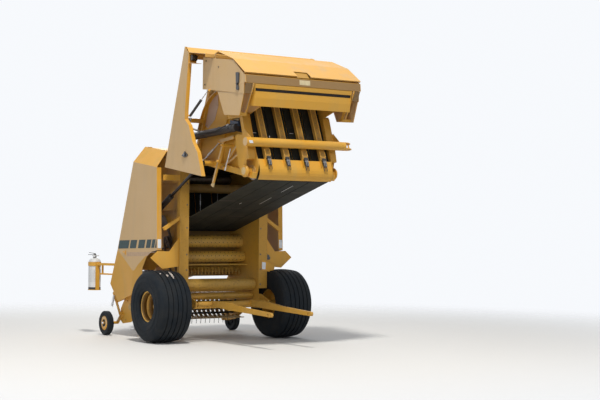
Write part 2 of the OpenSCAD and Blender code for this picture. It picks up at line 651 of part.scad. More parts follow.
// Belts: the outer run on the gate, the front run on the frame, and the spans between them
module belt_strip(pts) for (i = [0:belt_n - 1]) {
    y = -in_y + belt_pitch * (i + 0.5);
    sheet(ribbon(pts, -belt_t), y - belt_w / 2, y + belt_w / 2);
}
g_low_open = concat(swing(g_low, gate_open), g_low[2]);
g_top_open = concat(swing(g_top, gate_open), g_top[2]);
function turned(c, a) = concat(swing(c, a), c[2]);
span_low = clipped(laid(snug([g_low_open, f_drive])), seat);
span_top = clipped(laid(snug([f_top, f_pivot_r, g_top_open])), seat);
module belts_gate() color(dark) at_gate()
    belt_strip(inner(laid(snug([turned(f_pivot_r, -gate_open), g_top, g_rear, g_low,
                                turned(f_drive, -gate_open)]))));
module belts_front() color(dark)
    belt_strip(inner(laid(snug([g_low_open, f_drive, f_top, f_pivot_r]))));
module belts_span() color(dark) {
    belt_strip(span_low);
    belt_strip(span_top);
}

// Pickup: side plates, stripper bands, tined reel, windguard and gauge wheels
pick_pts = [[575, 850], [700, 860], [1080, 700], [1340, 560], [1470, 400], [1480, 230], [1400, 180], [1240, 200],
            [1130, 215], [900, 330], [720, 560], [575, 740]];
module pickup_frame() color(gold) {
    both() difference() {
        union() {
            sheet(pick_pts, pickup_y, pickup_y + 6);
            sheet([for (a = [0:20:340]) polar(lift_p, 45, a)], out_y + 16, out_y + 34);
            sheet(bar_pts(lift_p, [800, 700], 60), out_y + 16, out_y + 34);
            sheet(bar_pts([1390, 340], [gauge_x, gauge_r + 4], 50), pickup_y + 5, pickup_y + 26);
            shaft([gauge_x, gauge_r + 4], 20, pickup_y + 20, gauge_y + 52);
        }
        shaft(lift_p, 20 + seat, out_y, out_y + 60);
        shaft([reel_x, reel_z], 28 + seat, pickup_y - 10, pickup_y + 10);
    }
    shaft([800, 700], 38, -pickup_y, pickup_y);
}
band_pitch = 2 * (pickup_y - 30) / band_n;
band_w = band_pitch - 20;
module pickup_bands() color(gold) {
    pts = concat([[860, 640], [940, 650]],
                 [for (a = [110:-20:-130]) polar([reel_x, reel_z], band_r, a)], [[890, 262], [870, 262]]);
    for (i = [0:band_n - 1]) {
        y = -pickup_y + 30 + band_pitch * (i + 0.5);
        sheet(ribbon(pts, -3), y - band_w / 2, y + band_w / 2);
    }
    slab([855, 862], [-pickup_y, pickup_y], [600, 650]);
    slab([868, 892], [-pickup_y, pickup_y], [250, 263.5]);
}
reel_bars = 4;
bar_r = 130;
module reel() color(dark) {
    c = [reel_x, reel_z];
    shaft(c, 28, -pickup_y - 6, pickup_y + 6);
    shaft(c, 40, -pickup_y + 12, pickup_y - 12);
    for (k = [0:reel_bars - 1]) {
        a = 360 / reel_bars * k + 20;
        shaft(polar(c, bar_r, a), 16, -pickup_y + 14, pickup_y - 14);
        for (y = [-pickup_y + 20, 0, pickup_y - 20])
            sheet(bar_pts(c, polar(c, bar_r, a), 40), y - 4, y + 4);
        for (i = [1:band_n - 1]) {
            y = -pickup_y + 30 + band_pitch * i;
            t = polar(c, tine_r, a - 8);
            b = polar(c, bar_r, a);
            translate([b[0], y, b[1]]) rotate([0, 90 - heading(b, t), 0])
                cylinder(r = 4, h = norm(t - b), $fn = 6);
        }
    }
}
module windguard() color(gold) {
    shaft([1130, 778], 18, -pickup_y + 8, pickup_y - 8);
    both() sheet(bar_pts([1130, 778], [1060, 650], 40), pickup_y - 10, pickup_y);
    for (i = [0:15]) {
        y = (i - 7.5) * 105;
        rod([1130, y, 778], [830, y, 790], 5);
    }
}
module gauge(right) color(dark) side(right) translate([gauge_x, gauge_y, gauge_r + 4]) rotate([-90, 0, 0])
    rotate_extrude($fn = 60) polygon([
        [20 + seat, -30], [60, -30], [70, -12], [110, -12], [110, -40], [gauge_r - 20, -gauge_w / 2],
        [gauge_r, -30], [gauge_r, 30], [gauge_r - 20, gauge_w / 2], [110, 40], [110, 12], [70, 12],
        [60, 40], [20 + seat, 40]]);
module gauge_left() gauge(false);
module gauge_right() gauge(true);

// Ramp: two tapered arms on a cross tube
module ramp() color(gold) {
    d = ramp_tip - ramp_p;
    u = d / norm(d);
    n = [-u[1], u[0]];
    both() difference() {
        sheet([ramp_p + n * 30, ramp_p - n * 45, ramp_p + u * 500 - n * 60, ramp_p + u * 900 - n * 35,
               ramp_tip - n * 28, ramp_tip + u * 22, ramp_tip + n * 28, ramp_p + u * 500 + n * 40],
              ramp_y - 20, ramp_y + 20);
        shaft(ramp_tip - u * 60, 14, ramp_y - 40, ramp_y + 40);
    }
    shaft(ramp_p, 38, -in_y + 30, in_y - 30);
    shaft(ramp_p, 20, -out_y - 14, out_y + 14);
}

// Water extinguisher on a forward arm at the left
ext = [1950, 1120];
module extinguisher() color(steel) {
    translate([ext[0], ext[1], 0]) rotate_extrude($fn = 60)
        polygon(concat([[0, 672], [90, 672], [92, 690], [92, 1090]],
                       [for (a = [15:15:75]) [25 + 67 * cos(a), 1090 + 60 * sin(a)]],
                       [[25, 1155], [18, 1158], [18, 1190], [0, 1190]]));
    translate([ext[0], ext[1], 1180]) rotate([0, 0, 30]) translate([-70, -12, 0]) cube([110, 24, 12]);
}
module extinguisher_arm() color(gold) {
    slab([915, 965], [out_y, out_y + 12], [1035, 1085]);
    translate([0, 0, 1042]) linear_extrude(36)
        polygon(ribbon([[958, out_y + 5], [958, out_y + 40], [1150, 950], [1490, 965],
                        [ext[0] - 92, ext[1] - 22]], 36));
    difference() {
        translate([ext[0], ext[1], 1030]) cylinder(r = 99, h = 60, $fn = 60);
        translate([ext[0], ext[1], 1020]) cylinder(r = 92.5, h = 80, $fn = 60);
    }
    translate([ext[0], ext[1], 662]) cylinder(r = 99, h = 9, $fn = 60);
    slab([ext[0] - 110, ext[0] - 94], [ext[1] - 30, ext[1] + 30], [662, 1092]);
}

place() chamber_left();
place() chamber_right();
place() cross_beams();
place() axle();
place() tongue();
place() hitch();
place() jack();
place() jack_leg();
place() gearbox();
place() driveline();
place() chain_drive();
place() rollers_front();
place() starter_rollers();
place() feed_fingers();
place() shield_left();
place() shield_right();
place() bracket_left();
place() bracket_right();
place() front_cover();
place() rim_left();
place() rim_right();
place() tyre_left();
place() tyre_right();
place() lift_barrel_left();
place() lift_barrel_right();
place() lift_rod_left();
place() lift_rod_right();
place() gate_left();
place() gate_right();
place() gate_tube();
place() gate_beam();
place() slats();
place() gate_plate();
place() gate_rollers();
place() gate_cylinders();
place() gate_latches();
place() gate_shield_left();
place() gate_shield_right();
place() gate_strip();
place() net_box();
place() net_lid();
place() belts_gate();
place() belts_front();
place() belts_span();
place() pickup_frame();
place() pickup_bands();
place() reel();
place() windguard();
place() gauge_left();
place() gauge_right();
place() ramp();
place() extinguisher();
place() extinguisher_arm();
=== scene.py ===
"""Looks of a trailed round baler, parked with its tailgate open. Metres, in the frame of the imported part."""
import math
from contextlib import contextmanager

import bmesh
import bpy
from mathutils import Matrix, Vector
from mathutils.bvhtree import BVHTree


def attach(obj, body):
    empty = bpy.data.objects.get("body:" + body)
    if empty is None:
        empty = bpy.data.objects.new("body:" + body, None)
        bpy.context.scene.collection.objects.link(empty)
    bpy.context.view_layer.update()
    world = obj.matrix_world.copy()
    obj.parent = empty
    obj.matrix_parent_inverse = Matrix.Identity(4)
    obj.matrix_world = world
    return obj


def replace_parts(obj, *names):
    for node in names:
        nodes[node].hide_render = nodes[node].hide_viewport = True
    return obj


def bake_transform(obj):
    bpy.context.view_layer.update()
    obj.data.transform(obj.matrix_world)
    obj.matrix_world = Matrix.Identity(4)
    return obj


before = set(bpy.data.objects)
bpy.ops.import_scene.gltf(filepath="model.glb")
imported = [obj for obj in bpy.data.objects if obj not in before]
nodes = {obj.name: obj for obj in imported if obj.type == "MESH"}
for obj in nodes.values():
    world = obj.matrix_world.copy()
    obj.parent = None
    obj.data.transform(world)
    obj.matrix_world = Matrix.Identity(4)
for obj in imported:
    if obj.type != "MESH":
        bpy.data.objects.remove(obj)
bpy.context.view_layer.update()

SIDES = ((1, "left"), (-1, "right"))
UP = Vector((0, 0, 1))
FORWARD = Vector((1, 0, 0))


def box_middle(obj):
    """The middle of a node's bounding box."""
    pts = [obj.matrix_world @ Vector(c) for c in obj.bound_box]
    return [(min(p[k] for p in pts) + max(p[k] for p in pts)) / 2 for k in range(3)]


# The wheel axle's x, the middle of a wheel beside it and above the ground, and the hinge of the gate
AX, WHEEL_Y, WHEEL_Z = (round(v, 4) for v in box_middle(nodes["rim_left"]))
PIVOT = (AX - 0.07, 2.6)
OPEN = math.radians(80)


def swing(x, z):
    """A point of the shut gate, from the axle, where it is with the gate open."""
    dx, dz = x + AX - PIVOT[0], z - PIVOT[1]
    c, s = math.cos(OPEN), math.sin(OPEN)
    return PIVOT[0] + dx * c + dz * s, PIVOT[1] - dx * s + dz * c


def at(x, y, z):
    """A point measured from the wheel axle."""
    return Vector((AX + x, y, z))


def gate(x, y, z):
    """A point of the shut gate, measured from the wheel axle, where it is with the gate open."""
    u, w = swing(x, z)
    return Vector((u, y, w))


def outline(place, y, pts):
    """The corners (x, z) of a plate that stands at y."""
    return [place(x, y, z) for x, z in pts]


def polar(c, r, t):
    """The point at the angle t on a circle of radius r about c, square to the machine's width."""
    return c + r * Vector((math.cos(t), 0, math.sin(t)))


def aim_camera(yaw, pitch, roll, place, lens):
    """The camera at the photograph's viewing angle."""
    ahead = Vector((math.cos(yaw) * math.cos(pitch), -math.sin(yaw) * math.cos(pitch), math.sin(pitch)))
    level = ahead.cross(UP).normalized()
    upright = level.cross(ahead)
    across = math.cos(roll) * level + math.sin(roll) * upright
    upward = math.cos(roll) * upright - math.sin(roll) * level
    data = bpy.data.cameras.new("camera")
    data.lens = lens
    data.sensor_width = 36
    data.clip_end = 200
    cam = bpy.data.objects.new("camera", data)
    cam.matrix_world = Matrix([(across[k], upward[k], -ahead[k], place[k]) for k in range(3)]
        + [(0, 0, 0, 1)])
    bpy.context.collection.objects.link(cam)
    bpy.context.scene.camera = cam


aim_camera(0.59, 0.023, 0.009, (AX - 16.773, 9.894, 1.593), 80.244)


# Shader nodes
def new_mat(name):
    m = bpy.data.materials.new(name)
    m.use_nodes = True
    nt = m.node_tree
    return m, nt, nt.nodes["Principled BSDF"]


def noise(nt, scale, detail=6, rough=0.6, stretch=None):
    n = nt.nodes.new("ShaderNodeTexNoise")
    n.inputs["Scale"].default_value = scale
    n.inputs["Detail"].default_value = detail
    n.inputs["Roughness"].default_value = rough
    src = nt.nodes.new("ShaderNodeTexCoord").outputs["Object"]
    if stretch:
        mp = nt.nodes.new("ShaderNodeMapping")
        mp.inputs["Scale"].default_value = stretch
        nt.links.new(src, mp.inputs["Vector"])
        src = mp.outputs["Vector"]
    nt.links.new(src, n.inputs["Vector"])
    return n.outputs["Fac"]


def ramp(nt, src, stops):
    r = nt.nodes.new("ShaderNodeValToRGB")
    e = r.color_ramp.elements
    while len(e) < len(stops):
        e.new(0.5)
    for el, (pos, col) in zip(e, stops):
        el.position = pos
        el.color = (*col, 1) if isinstance(col, tuple) else (col, col, col, 1)
    nt.links.new(src, r.inputs["Fac"])
    return r.outputs["Color"]


def bump(nt, src, strength, distance, bsdf):
    b = nt.nodes.new("ShaderNodeBump")
    b.inputs["Strength"].default_value = strength
    b.inputs["Distance"].default_value = distance
    nt.links.new(src, b.inputs["Height"])
    nt.links.new(b.outputs["Normal"], bsdf.inputs["Normal"])


def mix(nt, fac, a, b):
    m = nt.nodes.new("ShaderNodeMix")
    m.data_type = "RGBA"
    for sock, v in ((m.inputs[6], a), (m.inputs[7], b)):
        if isinstance(v, tuple):
            sock.default_value = (*v, 1)
        else:
            nt.links.new(v, sock)
    nt.links.new(fac, m.inputs[0])
    return m.outputs[2]


def curve(nt, src, lo, hi):
    """0 below lo, 1 above hi."""
    r = nt.nodes.new("ShaderNodeMapRange")
    r.interpolation_type = "SMOOTHSTEP"
    r.inputs["From Min"].default_value = lo
    r.inputs["From Max"].default_value = hi
    nt.links.new(src, r.inputs["Value"])
    return r.outputs["Result"]


def math_node(nt, op, a, b=None):
    n = nt.nodes.new("ShaderNodeMath")
    n.operation = op
    for i, v in enumerate((a, b)):
        if isinstance(v, (int, float)):
            n.inputs[i].default_value = v
        elif v is not None:
            nt.links.new(v, n.inputs[i])
    return n.outputs[0]


def flank(nt):
    """1 on faces that look out to the left or right and not down, where the painted sky tone goes."""
    sep = nt.nodes.new("ShaderNodeSeparateXYZ")
    nt.links.new(nt.nodes.new("ShaderNodeTexCoord").outputs["Normal"], sep.inputs[0])
    across = curve(nt, math_node(nt, "ABSOLUTE", sep.outputs["Y"]), 0.8, 0.96)
    return math_node(nt, "MULTIPLY", across, curve(nt, sep.outputs["Z"], -0.07, -0.02))


def scaled(col, k):
    return tuple(k * c for c in col)


# Materials
def paint(name, base, dusty, worn, rough=0.42, dust=0.5, side=None, grime=0.62):
    """Paint with a film of dust, duller patches and darker scuffs, and on the flanks a painted sky tone: the
    light and reflection of the sky, painted into the colour.
    """
    m, nt, b = new_mat(name)
    dust_and_sky_tone = dusty
    if side:
        f = flank(nt)
        base = mix(nt, f, base, side)
        # On the flanks the dust film takes the painted sky tone too
        dust_and_sky_tone = mix(nt, f, dusty, scaled(side, 1.05))
    big = noise(nt, 2.2, 8, 0.62)
    fine = noise(nt, 38, 5, 0.7)
    streak = noise(nt, 5.5, 6, 0.6, stretch=(1, 1, 0.16))
    col = mix(nt, ramp(nt, big, [(0.38, 0), (0.66, dust)]), base, dust_and_sky_tone)
    col = mix(nt, ramp(nt, streak, [(0.5, 0), (0.72, 0.55)]), col, scaled(side or dusty, 0.88))
    col = mix(nt, ramp(nt, fine, [(grime, 0), (grime + 0.12, 0.6)]), col, worn)
    nt.links.new(col, b.inputs["Base Color"])
    nt.links.new(ramp(nt, big, [(0.3, rough - 0.1), (0.7, rough + 0.25)]), b.inputs["Roughness"])
    b.inputs["Specular IOR Level"].default_value = 0.45
    b.inputs["Coat Weight"].default_value = 0.06
    b.inputs["Coat Roughness"].default_value = 0.35
    bump(nt, fine, 0.12, 0.0012, b)
    return m


def metal(name, base, rough=0.35, rust=0.15):
    """Bare metal with duller patches and spots of rust."""
    m, nt, b = new_mat(name)
    n = noise(nt, 24, 8, 0.7)
    rusty = tuple(c * (1 - rust) + r * rust for c, r in zip(base, (0.24, 0.12, 0.05)))
    nt.links.new(ramp(nt, n, [(0.35, base), (0.62, scaled(base, 0.78)), (0.8, rusty)]),
        b.inputs["Base Color"])
    nt.links.new(ramp(nt, n, [(0.3, rough - 0.08), (0.75, rough + 0.22)]), b.inputs["Roughness"])
    b.inputs["Metallic"].default_value = 0.9
    bump(nt, n, 0.1, 0.0008, b)
    return m


def rubber(name, base, dusty, rough, scale, amount=0.6):
    """Rubber with dust that lies in patches."""
    m, nt, b = new_mat(name)
    half = tuple((a + c) / 2 for a, c in zip(base, dusty))
    stops = [(0.4, base), (0.4 + 0.3 * (1.2 - amount), half), (0.86, dusty)]
    nt.links.new(ramp(nt, noise(nt, scale, 8, 0.65), stops), b.inputs["Base Color"])
    b.inputs["Roughness"].default_value = rough
    b.inputs["Specular IOR Level"].default_value = 0.22
    bump(nt, noise(nt, 120, 4, 0.6), 0.25, 0.0012, b)
    return m


def plain(name, col, rough=0.5, metallic=0.0, coat=0.0, var=0.12, scale=30):
    """A plain finish with slight mottling."""
    m, nt, b = new_mat(name)
    n = noise(nt, scale, 6, 0.6)
    stops = [(0.3, scaled(col, 1 - var)), (0.7, tuple(min(1, c * (1 + var)) for c in col))]
    nt.links.new(ramp(nt, n, stops), b.inputs["Base Color"])
    b.inputs["Roughness"].default_value = rough
    b.inputs["Metallic"].default_value = metallic
    b.inputs["Coat Weight"].default_value = coat
    bump(nt, n, 0.08, 0.0006, b)
    return m


# A painted sky tone: the paler, duller look that the sky's light and reflection give to faces that look out to
# the sides. It is painted into the gold and the hood on their flanks, and into the whole flat face of the
# front shields
SKY_TONE = (0.6, 0.4, 0.19)
FINISHES = [
    # Paint: its colour, the dust on it, the wear under it
    (paint, "gold", (0.68, 0.33, 0.026), (0.64, 0.37, 0.065), (0.44, 0.22, 0.03), dict(side=SKY_TONE)),
    # The painted sky tone alone, for the flat face of the front shields
    (paint, "tan", SKY_TONE, (0.62, 0.43, 0.23), (0.5, 0.33, 0.15), dict(rough=0.5)),
    (paint, "facet", (0.66, 0.33, 0.03), (0.62, 0.36, 0.075), (0.44, 0.22, 0.03), {}),
    # Darker brown for the cross beams within the machine: painted shade
    (paint, "inside", (0.36, 0.2, 0.045), (0.42, 0.27, 0.09), (0.16, 0.1, 0.05), dict(rough=0.55)),
    (paint, "drum", (0.58, 0.33, 0.045), (0.44, 0.27, 0.07), (0.22, 0.12, 0.03),
     dict(rough=0.4, dust=0.7, grime=0.54)),
    (paint, "shade", (0.26, 0.15, 0.055), (0.3, 0.19, 0.08), (0.16, 0.1, 0.05), dict(rough=0.55)),
    (paint, "hull", (0.54, 0.28, 0.03), (0.46, 0.27, 0.065), (0.2, 0.11, 0.03), dict(rough=0.5, grime=0.57)),
    # Paler and yellower than the gold, for the lid and the covers: partly a dust film, partly painted light of
    # the sunlit lid
    (paint, "hood", (0.68, 0.37, 0.08), (0.67, 0.4, 0.13), (0.52, 0.28, 0.07), dict(side=SKY_TONE)),
    # Darker gold for the slats, their straps and the notch under the lid: painted shade
    (paint, "slat", (0.42, 0.22, 0.032), (0.44, 0.26, 0.07), (0.16, 0.09, 0.03), dict(rough=0.5)),
    # Darker gold for the wheel rims: painted shade in the dish of the wheel
    (paint, "deep", (0.5, 0.25, 0.025), (0.42, 0.24, 0.06), (0.2, 0.12, 0.04), dict(rough=0.45)),
    # A near black brown for painted shade in the grooves of the rims
    (paint, "pit", (0.18, 0.085, 0.012), (0.2, 0.11, 0.02), (0.1, 0.05, 0.01), dict(rough=0.5)),
    # A bright gold for painted highlights: the lit ribs along the slats and the lit edges of the rims
    (paint, "edge", (0.88, 0.5, 0.085), (0.78, 0.48, 0.14), (0.5, 0.28, 0.07), dict(rough=0.4)),
    (paint, "faded", (0.6, 0.43, 0.2), (0.64, 0.5, 0.28), (0.5, 0.33, 0.13), dict(rough=0.5)),
    (paint, "rosy", (0.52, 0.36, 0.26), (0.55, 0.42, 0.32), (0.42, 0.28, 0.18), dict(rough=0.55)),
    (paint, "worn", (0.5, 0.3, 0.08), (0.46, 0.32, 0.14), (0.3, 0.19, 0.09), dict(rough=0.5)),
    (paint, "black", (0.018, 0.018, 0.02), (0.06, 0.055, 0.05), (0.09, 0.08, 0.07),
     dict(rough=0.4, dust=0.4)),
    (paint, "white", (0.74, 0.76, 0.79), (0.6, 0.58, 0.52), (0.5, 0.46, 0.4), dict(rough=0.3, dust=0.3)),
    # Rubber: its colour, the dust on it, roughness and the size of the patches
    (rubber, "tyre", (0.006, 0.01, 0.015), (0.024, 0.024, 0.023), 0.72, 6, dict(amount=0.3)),
    (rubber, "belt", (0.013, 0.013, 0.01), (0.034, 0.032, 0.021), 0.66, 5, {}),
    # Bare metal: its colour, roughness and rust
    (metal, "steel", (0.42, 0.41, 0.4), {}),
    (metal, "roller", (0.3, 0.26, 0.22), 0.45, 0.6, {}),
    (metal, "chrome", (0.72, 0.72, 0.74), 0.16, 0.02, {}),
    (metal, "chain", (0.16, 0.13, 0.11), 0.5, 0.5, {}),
    (metal, "rod_dark", (0.055, 0.055, 0.06), 0.3, 0.1, {}),
    # Small parts: colour, roughness, metallic
    (plain, "hose", (0.02, 0.02, 0.022), 0.55, {}),
    (plain, "hose_white", (0.62, 0.63, 0.64), 0.4, {}),
    # Pale marks on the tyre's ribs: partly muddy scuffs, partly a painted highlight
    (plain, "mud", (0.82, 0.74, 0.68), 0.8, {}),
    (plain, "zinc", (0.6, 0.6, 0.62), 0.35, 0.8, {}),
    (plain, "teal", (0.026, 0.052, 0.055), 0.6, dict(var=0.3)),
    (plain, "faint", (0.5, 0.33, 0.2), 0.5, {}),
    (plain, "reflector", (0.72, 0.76, 0.8), 0.15, dict(coat=0.8, var=0.05, scale=300)),
    (plain, "plate", (0.6, 0.5, 0.3), 0.35, {}),
    # Near black for painted shade in holes and behind the slot under the lid
    (plain, "slot_dark", (0.015, 0.012, 0.01), 0.8, {}),
    (plain, "blue_block", (0.035, 0.06, 0.105), 0.35, 0.2, {}),
    (plain, "lacing", (0.62, 0.62, 0.6), 0.35, 0.6, {}),
    (plain, "bolt", (0.22, 0.17, 0.11), 0.5, 0.6, dict(var=0.2)),
    (plain, "lamp", (0.014, 0.014, 0.016), 0.3, dict(coat=0.4)),
    (plain, "lamp_dark", (0.006, 0.006, 0.008), 0.1, dict(coat=0.8))]
M = {name: make(name, *values, **more) for make, name, *values, more in FINISHES}

WEARS = {
    # The nodes that wear each finish; all others are gold
    "black": "jack gearbox driveline lift_barrel_left lift_barrel_right gate_cylinders reel",
    "tyre": "tyre_left tyre_right gauge_left gauge_right",
    "belt": "belts_gate belts_front belts_span",
    "steel": "hitch jack_leg",
    "roller": "rollers_front gate_rollers",
    "rod_dark": "lift_rod_left lift_rod_right",
    "chain": "chain_drive",
    "white": "extinguisher",
    # The cross beams take painted shade
    "inside": "cross_beams",
    "hull": "chamber_left chamber_right ramp axle",
    "hood": "net_lid gate_strip front_cover",
    # The slats take painted shade
    "slat": "slats",
    # The rims take painted shade
    "deep": "rim_left rim_right",
    "faded": "pickup_bands",
    "facet": "gate_left gate_right gate_tube gate_plate gate_beam gate_latches bracket_left bracket_right "
             "tongue pickup_frame windguard extinguisher_arm",
    "drum": "starter_rollers feed_fingers"}
finish_of = {node: name for name, worn_by in WEARS.items() for node in worn_by.split()}
for name, obj in nodes.items():
    obj.data.materials.clear()
    obj.data.materials.append(M[finish_of.get(name, "gold")])


# Building blocks
def put(name, bm, mat, body, smooth=False):
    """The piece made of bm, which rides on a body."""
    me = bpy.data.meshes.new(name)
    bmesh.ops.recalc_face_normals(bm, faces=bm.faces)
    bm.to_mesh(me)
    bm.free()
    me.materials.append(M[mat])
    if smooth:
        for f in me.polygons:
            f.use_smooth = True
    o = bpy.data.objects.new(name, me)
    bpy.context.collection.objects.link(o)
    if body:
        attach(o, body)
    return o


@contextmanager
def piece(name, mat, body, smooth=False):
    """A piece whose mesh is filled in the with block."""
    bm = bmesh.new()
    yield bm
    put(name, bm, mat, body, smooth)


def frame_of(d, hint=UP):
    """Two unit vectors square to d."""
    d = d.normalized()
    if abs(d.dot(hint)) > 0.95:
        hint = Vector((0, 1, 0))
    a = d.cross(hint).normalized()
    return a, a.cross(d).normalized()


def circle(bm, c, a, b, r, n):
    """The vertices of a circle about c, in the plane of a and b."""
    turns = [2 * math.pi * i / n for i in range(n)]
    return [bm.verts.new(c + r * (math.cos(t) * a + math.sin(t) * b)) for t in turns]


def skin(bm, loops, closed=False):
    """Faces between loops of as many vertices each."""
    for l0, l1 in zip(loops, loops[1:] + (loops[:1] if closed else [])):
        n = len(l0)
        for i in range(n):
            bm.faces.new((l0[i], l0[(i + 1) % n], l1[(i + 1) % n], l1[i]))
    if not closed:
        bm.faces.new(loops[0][::-1])
        bm.faces.new(loops[-1])


def add_rod(bm, p, q, r, n=16, bevel=0.0):
    """A round bar with a chamfer at each end."""
    a, b = frame_of(q - p)
    u = (q - p).normalized()
    ends = [(p, r), (q, r)]
    if bevel:
        ends = [(p, r - bevel), (p + u * bevel, r), (q - u * bevel, r), (q, r - bevel)]
    skin(bm, [circle(bm, c, a, b, rr, n) for c, rr in ends])


def add_bolt(bm, p, d, r=0.012, h=0.008, washer=True):
    """A hexagon head on a washer, standing out along d."""
    d = d.normalized()
    if washer:
        add_rod(bm, p - d * 0.002, p + d * 0.0025, r * 1.45, 14, 0.0006)
    add_rod(bm, p, p + d * h, r, 6, 0.0015)
    add_rod(bm, p + d * h * 0.8, p + d * (h + 0.003), r * 0.5, 8, 0.0006)


def add_bolts(bm, place, y, d, spots):
    """Bolts at the spots (x, z) of a face that stands at y."""
    for x, z in spots:
        add_bolt(bm, place(x, y, z), d, 0.01)


def add_prism(bm, pts, d, bevel=0.0):
    """A flat plate: its outline pushed along the vector d."""
    lo = [bm.verts.new(v) for v in pts]
    hi = [bm.verts.new(v + d) for v in pts]
    n = len(pts)
    fs = [bm.faces.new(lo[::-1]), bm.faces.new(hi)]
    fs += [bm.faces.new((lo[i], lo[(i + 1) % n], hi[(i + 1) % n], hi[i])) for i in range(n)]
    if bevel:
        edges = list({e for f in fs for e in f.edges})
        bmesh.ops.bevel(bm, geom=edges, offset=bevel, segments=2, affect="EDGES", profile=0.6)


def add_plate(bm, place, y, d, bevel, corners):
    """A flat plate that stands at y: its corners (x, z) pushed along the vector d."""
    add_prism(bm, outline(place, y, corners), d, bevel)


def add_block(bm, p, q, w, h, hint=UP, bevel=0.003):
    """A square bar from p to q."""
    a, b = frame_of(q - p, hint)
    a, b = a * w / 2, b * h / 2
    add_prism(bm, [p + a + b, p - a + b, p - a - b, p + a - b], q - p, bevel)


def smooth_path(pts, per=8):
    """A Catmull-Rom curve through the points."""
    out = []
    ext = [2 * pts[0] - pts[1]] + pts + [2 * pts[-1] - pts[-2]]
    for i in range(1, len(ext) - 2):
        a, b, c, d = ext[i - 1:i + 3]
        for t in (k / per for k in range(per)):
            bend, twist = 2 * a - 5 * b + 4 * c - d, 3 * b - a - 3 * c + d
            out.append(0.5 * (2 * b + (c - a) * t + bend * t * t + twist * t ** 3))
    return out + [pts[-1]]


def add_tube(bm, pts, r, n=10):
    """A round tube along a path."""
    a, _ = frame_of(pts[1] - pts[0])
    loops = []
    for i, p in enumerate(pts):
        t = (pts[min(i + 1, len(pts) - 1)] - pts[max(i - 1, 0)]).normalized()
        a = (a - a.dot(t) * t).normalized()
        loops.append(circle(bm, p, a, t.cross(a), r, n))
    skin(bm, loops)


def add_lathe(bm, c, d, prof, n=32, closed=False):
    """A shape turned about d, from its profile of (distance along d, radius); closed makes a hollow ring."""
    d = d.normalized()
    a, b = frame_of(d)
    loops = [circle(bm, c + d * h, a, b, r, n) if r > 0 else [bm.verts.new(c + d * h)] for h, r in prof]
    for l0, l1 in zip(loops, loops[1:] + (loops[:1] if closed else [])):
        for i in range(n):
            q = [l0[i % len(l0)], l0[(i + 1) % n % len(l0)], l1[(i + 1) % n % len(l1)], l1[i % len(l1)]]
            bm.faces.new(list(dict.fromkeys(q)))
    for loop in (loops[0], loops[-1]):
        if len(loop) > 1 and not closed:
            bm.faces.new(loop)


def add_ring(bm, c, d, ring_r, r, n=96, m=8):
    """A closed round ring of radius ring_r about d."""
    a, b = frame_of(d)
    d = d.normalized()
    outs = [a * math.cos(2 * math.pi * i / n) + b * math.sin(2 * math.pi * i / n) for i in range(n)]
    skin(bm, [circle(bm, c + u * ring_r, u, d, r, m) for u in outs], closed=True)


def hose(name, pts, r, body, mat="hose"):
    """A hose with a fitting at each end."""
    path = smooth_path(pts)
    with piece(name, mat, body, True) as bm:
        add_tube(bm, path, r)
    with piece(name + "_fittings", "steel", body) as bm:
        for p, q in ((path[0], path[1]), (path[-1], path[-2])):
            d = (q - p).normalized()
            add_rod(bm, p - d * 0.004, p + d * 0.035, r * 1.35, 12, 0.002)
            add_rod(bm, p - d * 0.012, p + d * 0.01, r * 1.7, 6, 0.002)


# Front side shields: a flat face that ends below in a rounded tongue, and facets that bend inward round it
SHIELD_Y = 1.06
FOLD_SLOPE = 0.1427


def fold_z(x):
    """The height of the fold between a shield's flat face and its top facet."""
    return 2.535 + (x - 0.5) * FOLD_SLOPE


def shield_skin(s, side):
    low_y, lower_y, foot_y = 1.01, 1.004, 0.998
    tongue = [(0.3, 1.262), (0.64, 1.07), (0.69, 1.03), (0.735, 0.998), (0.775, 0.99), (0.82, 1.005),
        (0.87, 1.04), (1.291, 1.29)]
    main = [(0.04, 1.299), (0.076, fold_z(0.08)), (0.805, fold_z(0.8))]
    Y = SHIELD_Y
    bm = bmesh.new()
    made = {}

    def face(*pts):
        for p in pts:
            if p not in made:
                made[p] = bm.verts.new(at(p[0], s * p[1], p[2]))
        bm.faces.new([made[p] for p in pts])

    face((0.076, Y, fold_z(0.08)), (0.162, 0.85, 2.722), (0.842, 0.85, 2.812), (0.805, Y, fold_z(0.8)))
    face(*[(x, Y, z) for x, z in main + tongue[::-1]])
    # Facets under the tongue, from the rear to the front
    face((0.3, Y, 1.262), (0.524, 1.035, 1.041), (0.69, Y, 1.03), (0.64, Y, 1.07))
    face((0.524, 1.035, 1.041), (0.615, low_y, 0.776), (0.946, lower_y, 0.626), (0.775, Y, 0.99),
         (0.735, Y, 0.998), (0.69, Y, 1.03))
    face((0.775, Y, 0.99), (0.946, lower_y, 0.626), (1.386, foot_y, 0.506), (1.628, low_y, 0.769),
         (0.87, Y, 1.04), (0.82, Y, 1.005))
    face((0.87, Y, 1.04), (1.628, low_y, 0.769), (1.291, Y, 1.29))
    # The flat face takes the painted sky tone all over; the top and the facets round the tongue take plain
    # gold
    o = put("shield_skin_" + side, bm, "tan", "door_" + side)
    o.data.materials.append(M["facet"])
    for i, f in enumerate(o.data.polygons):
        f.material_index = 0 if i == 1 else 1
    # The faces look outward and the skin is thickened inward
    if (o.data.polygons[1].normal.y > 0) != (s > 0):
        o.data.flip_normals()
    thick = o.modifiers.new("thick", "SOLIDIFY")
    thick.thickness = 0.004
    thick.offset = -1
    edge = o.modifiers.new("edge", "BEVEL")
    edge.width = 0.006
    edge.segments = 3
    edge.limit_method = "ANGLE"
    edge.angle_limit = math.radians(3)
    edge.harden_normals = True
    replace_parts(o, "shield_" + side)


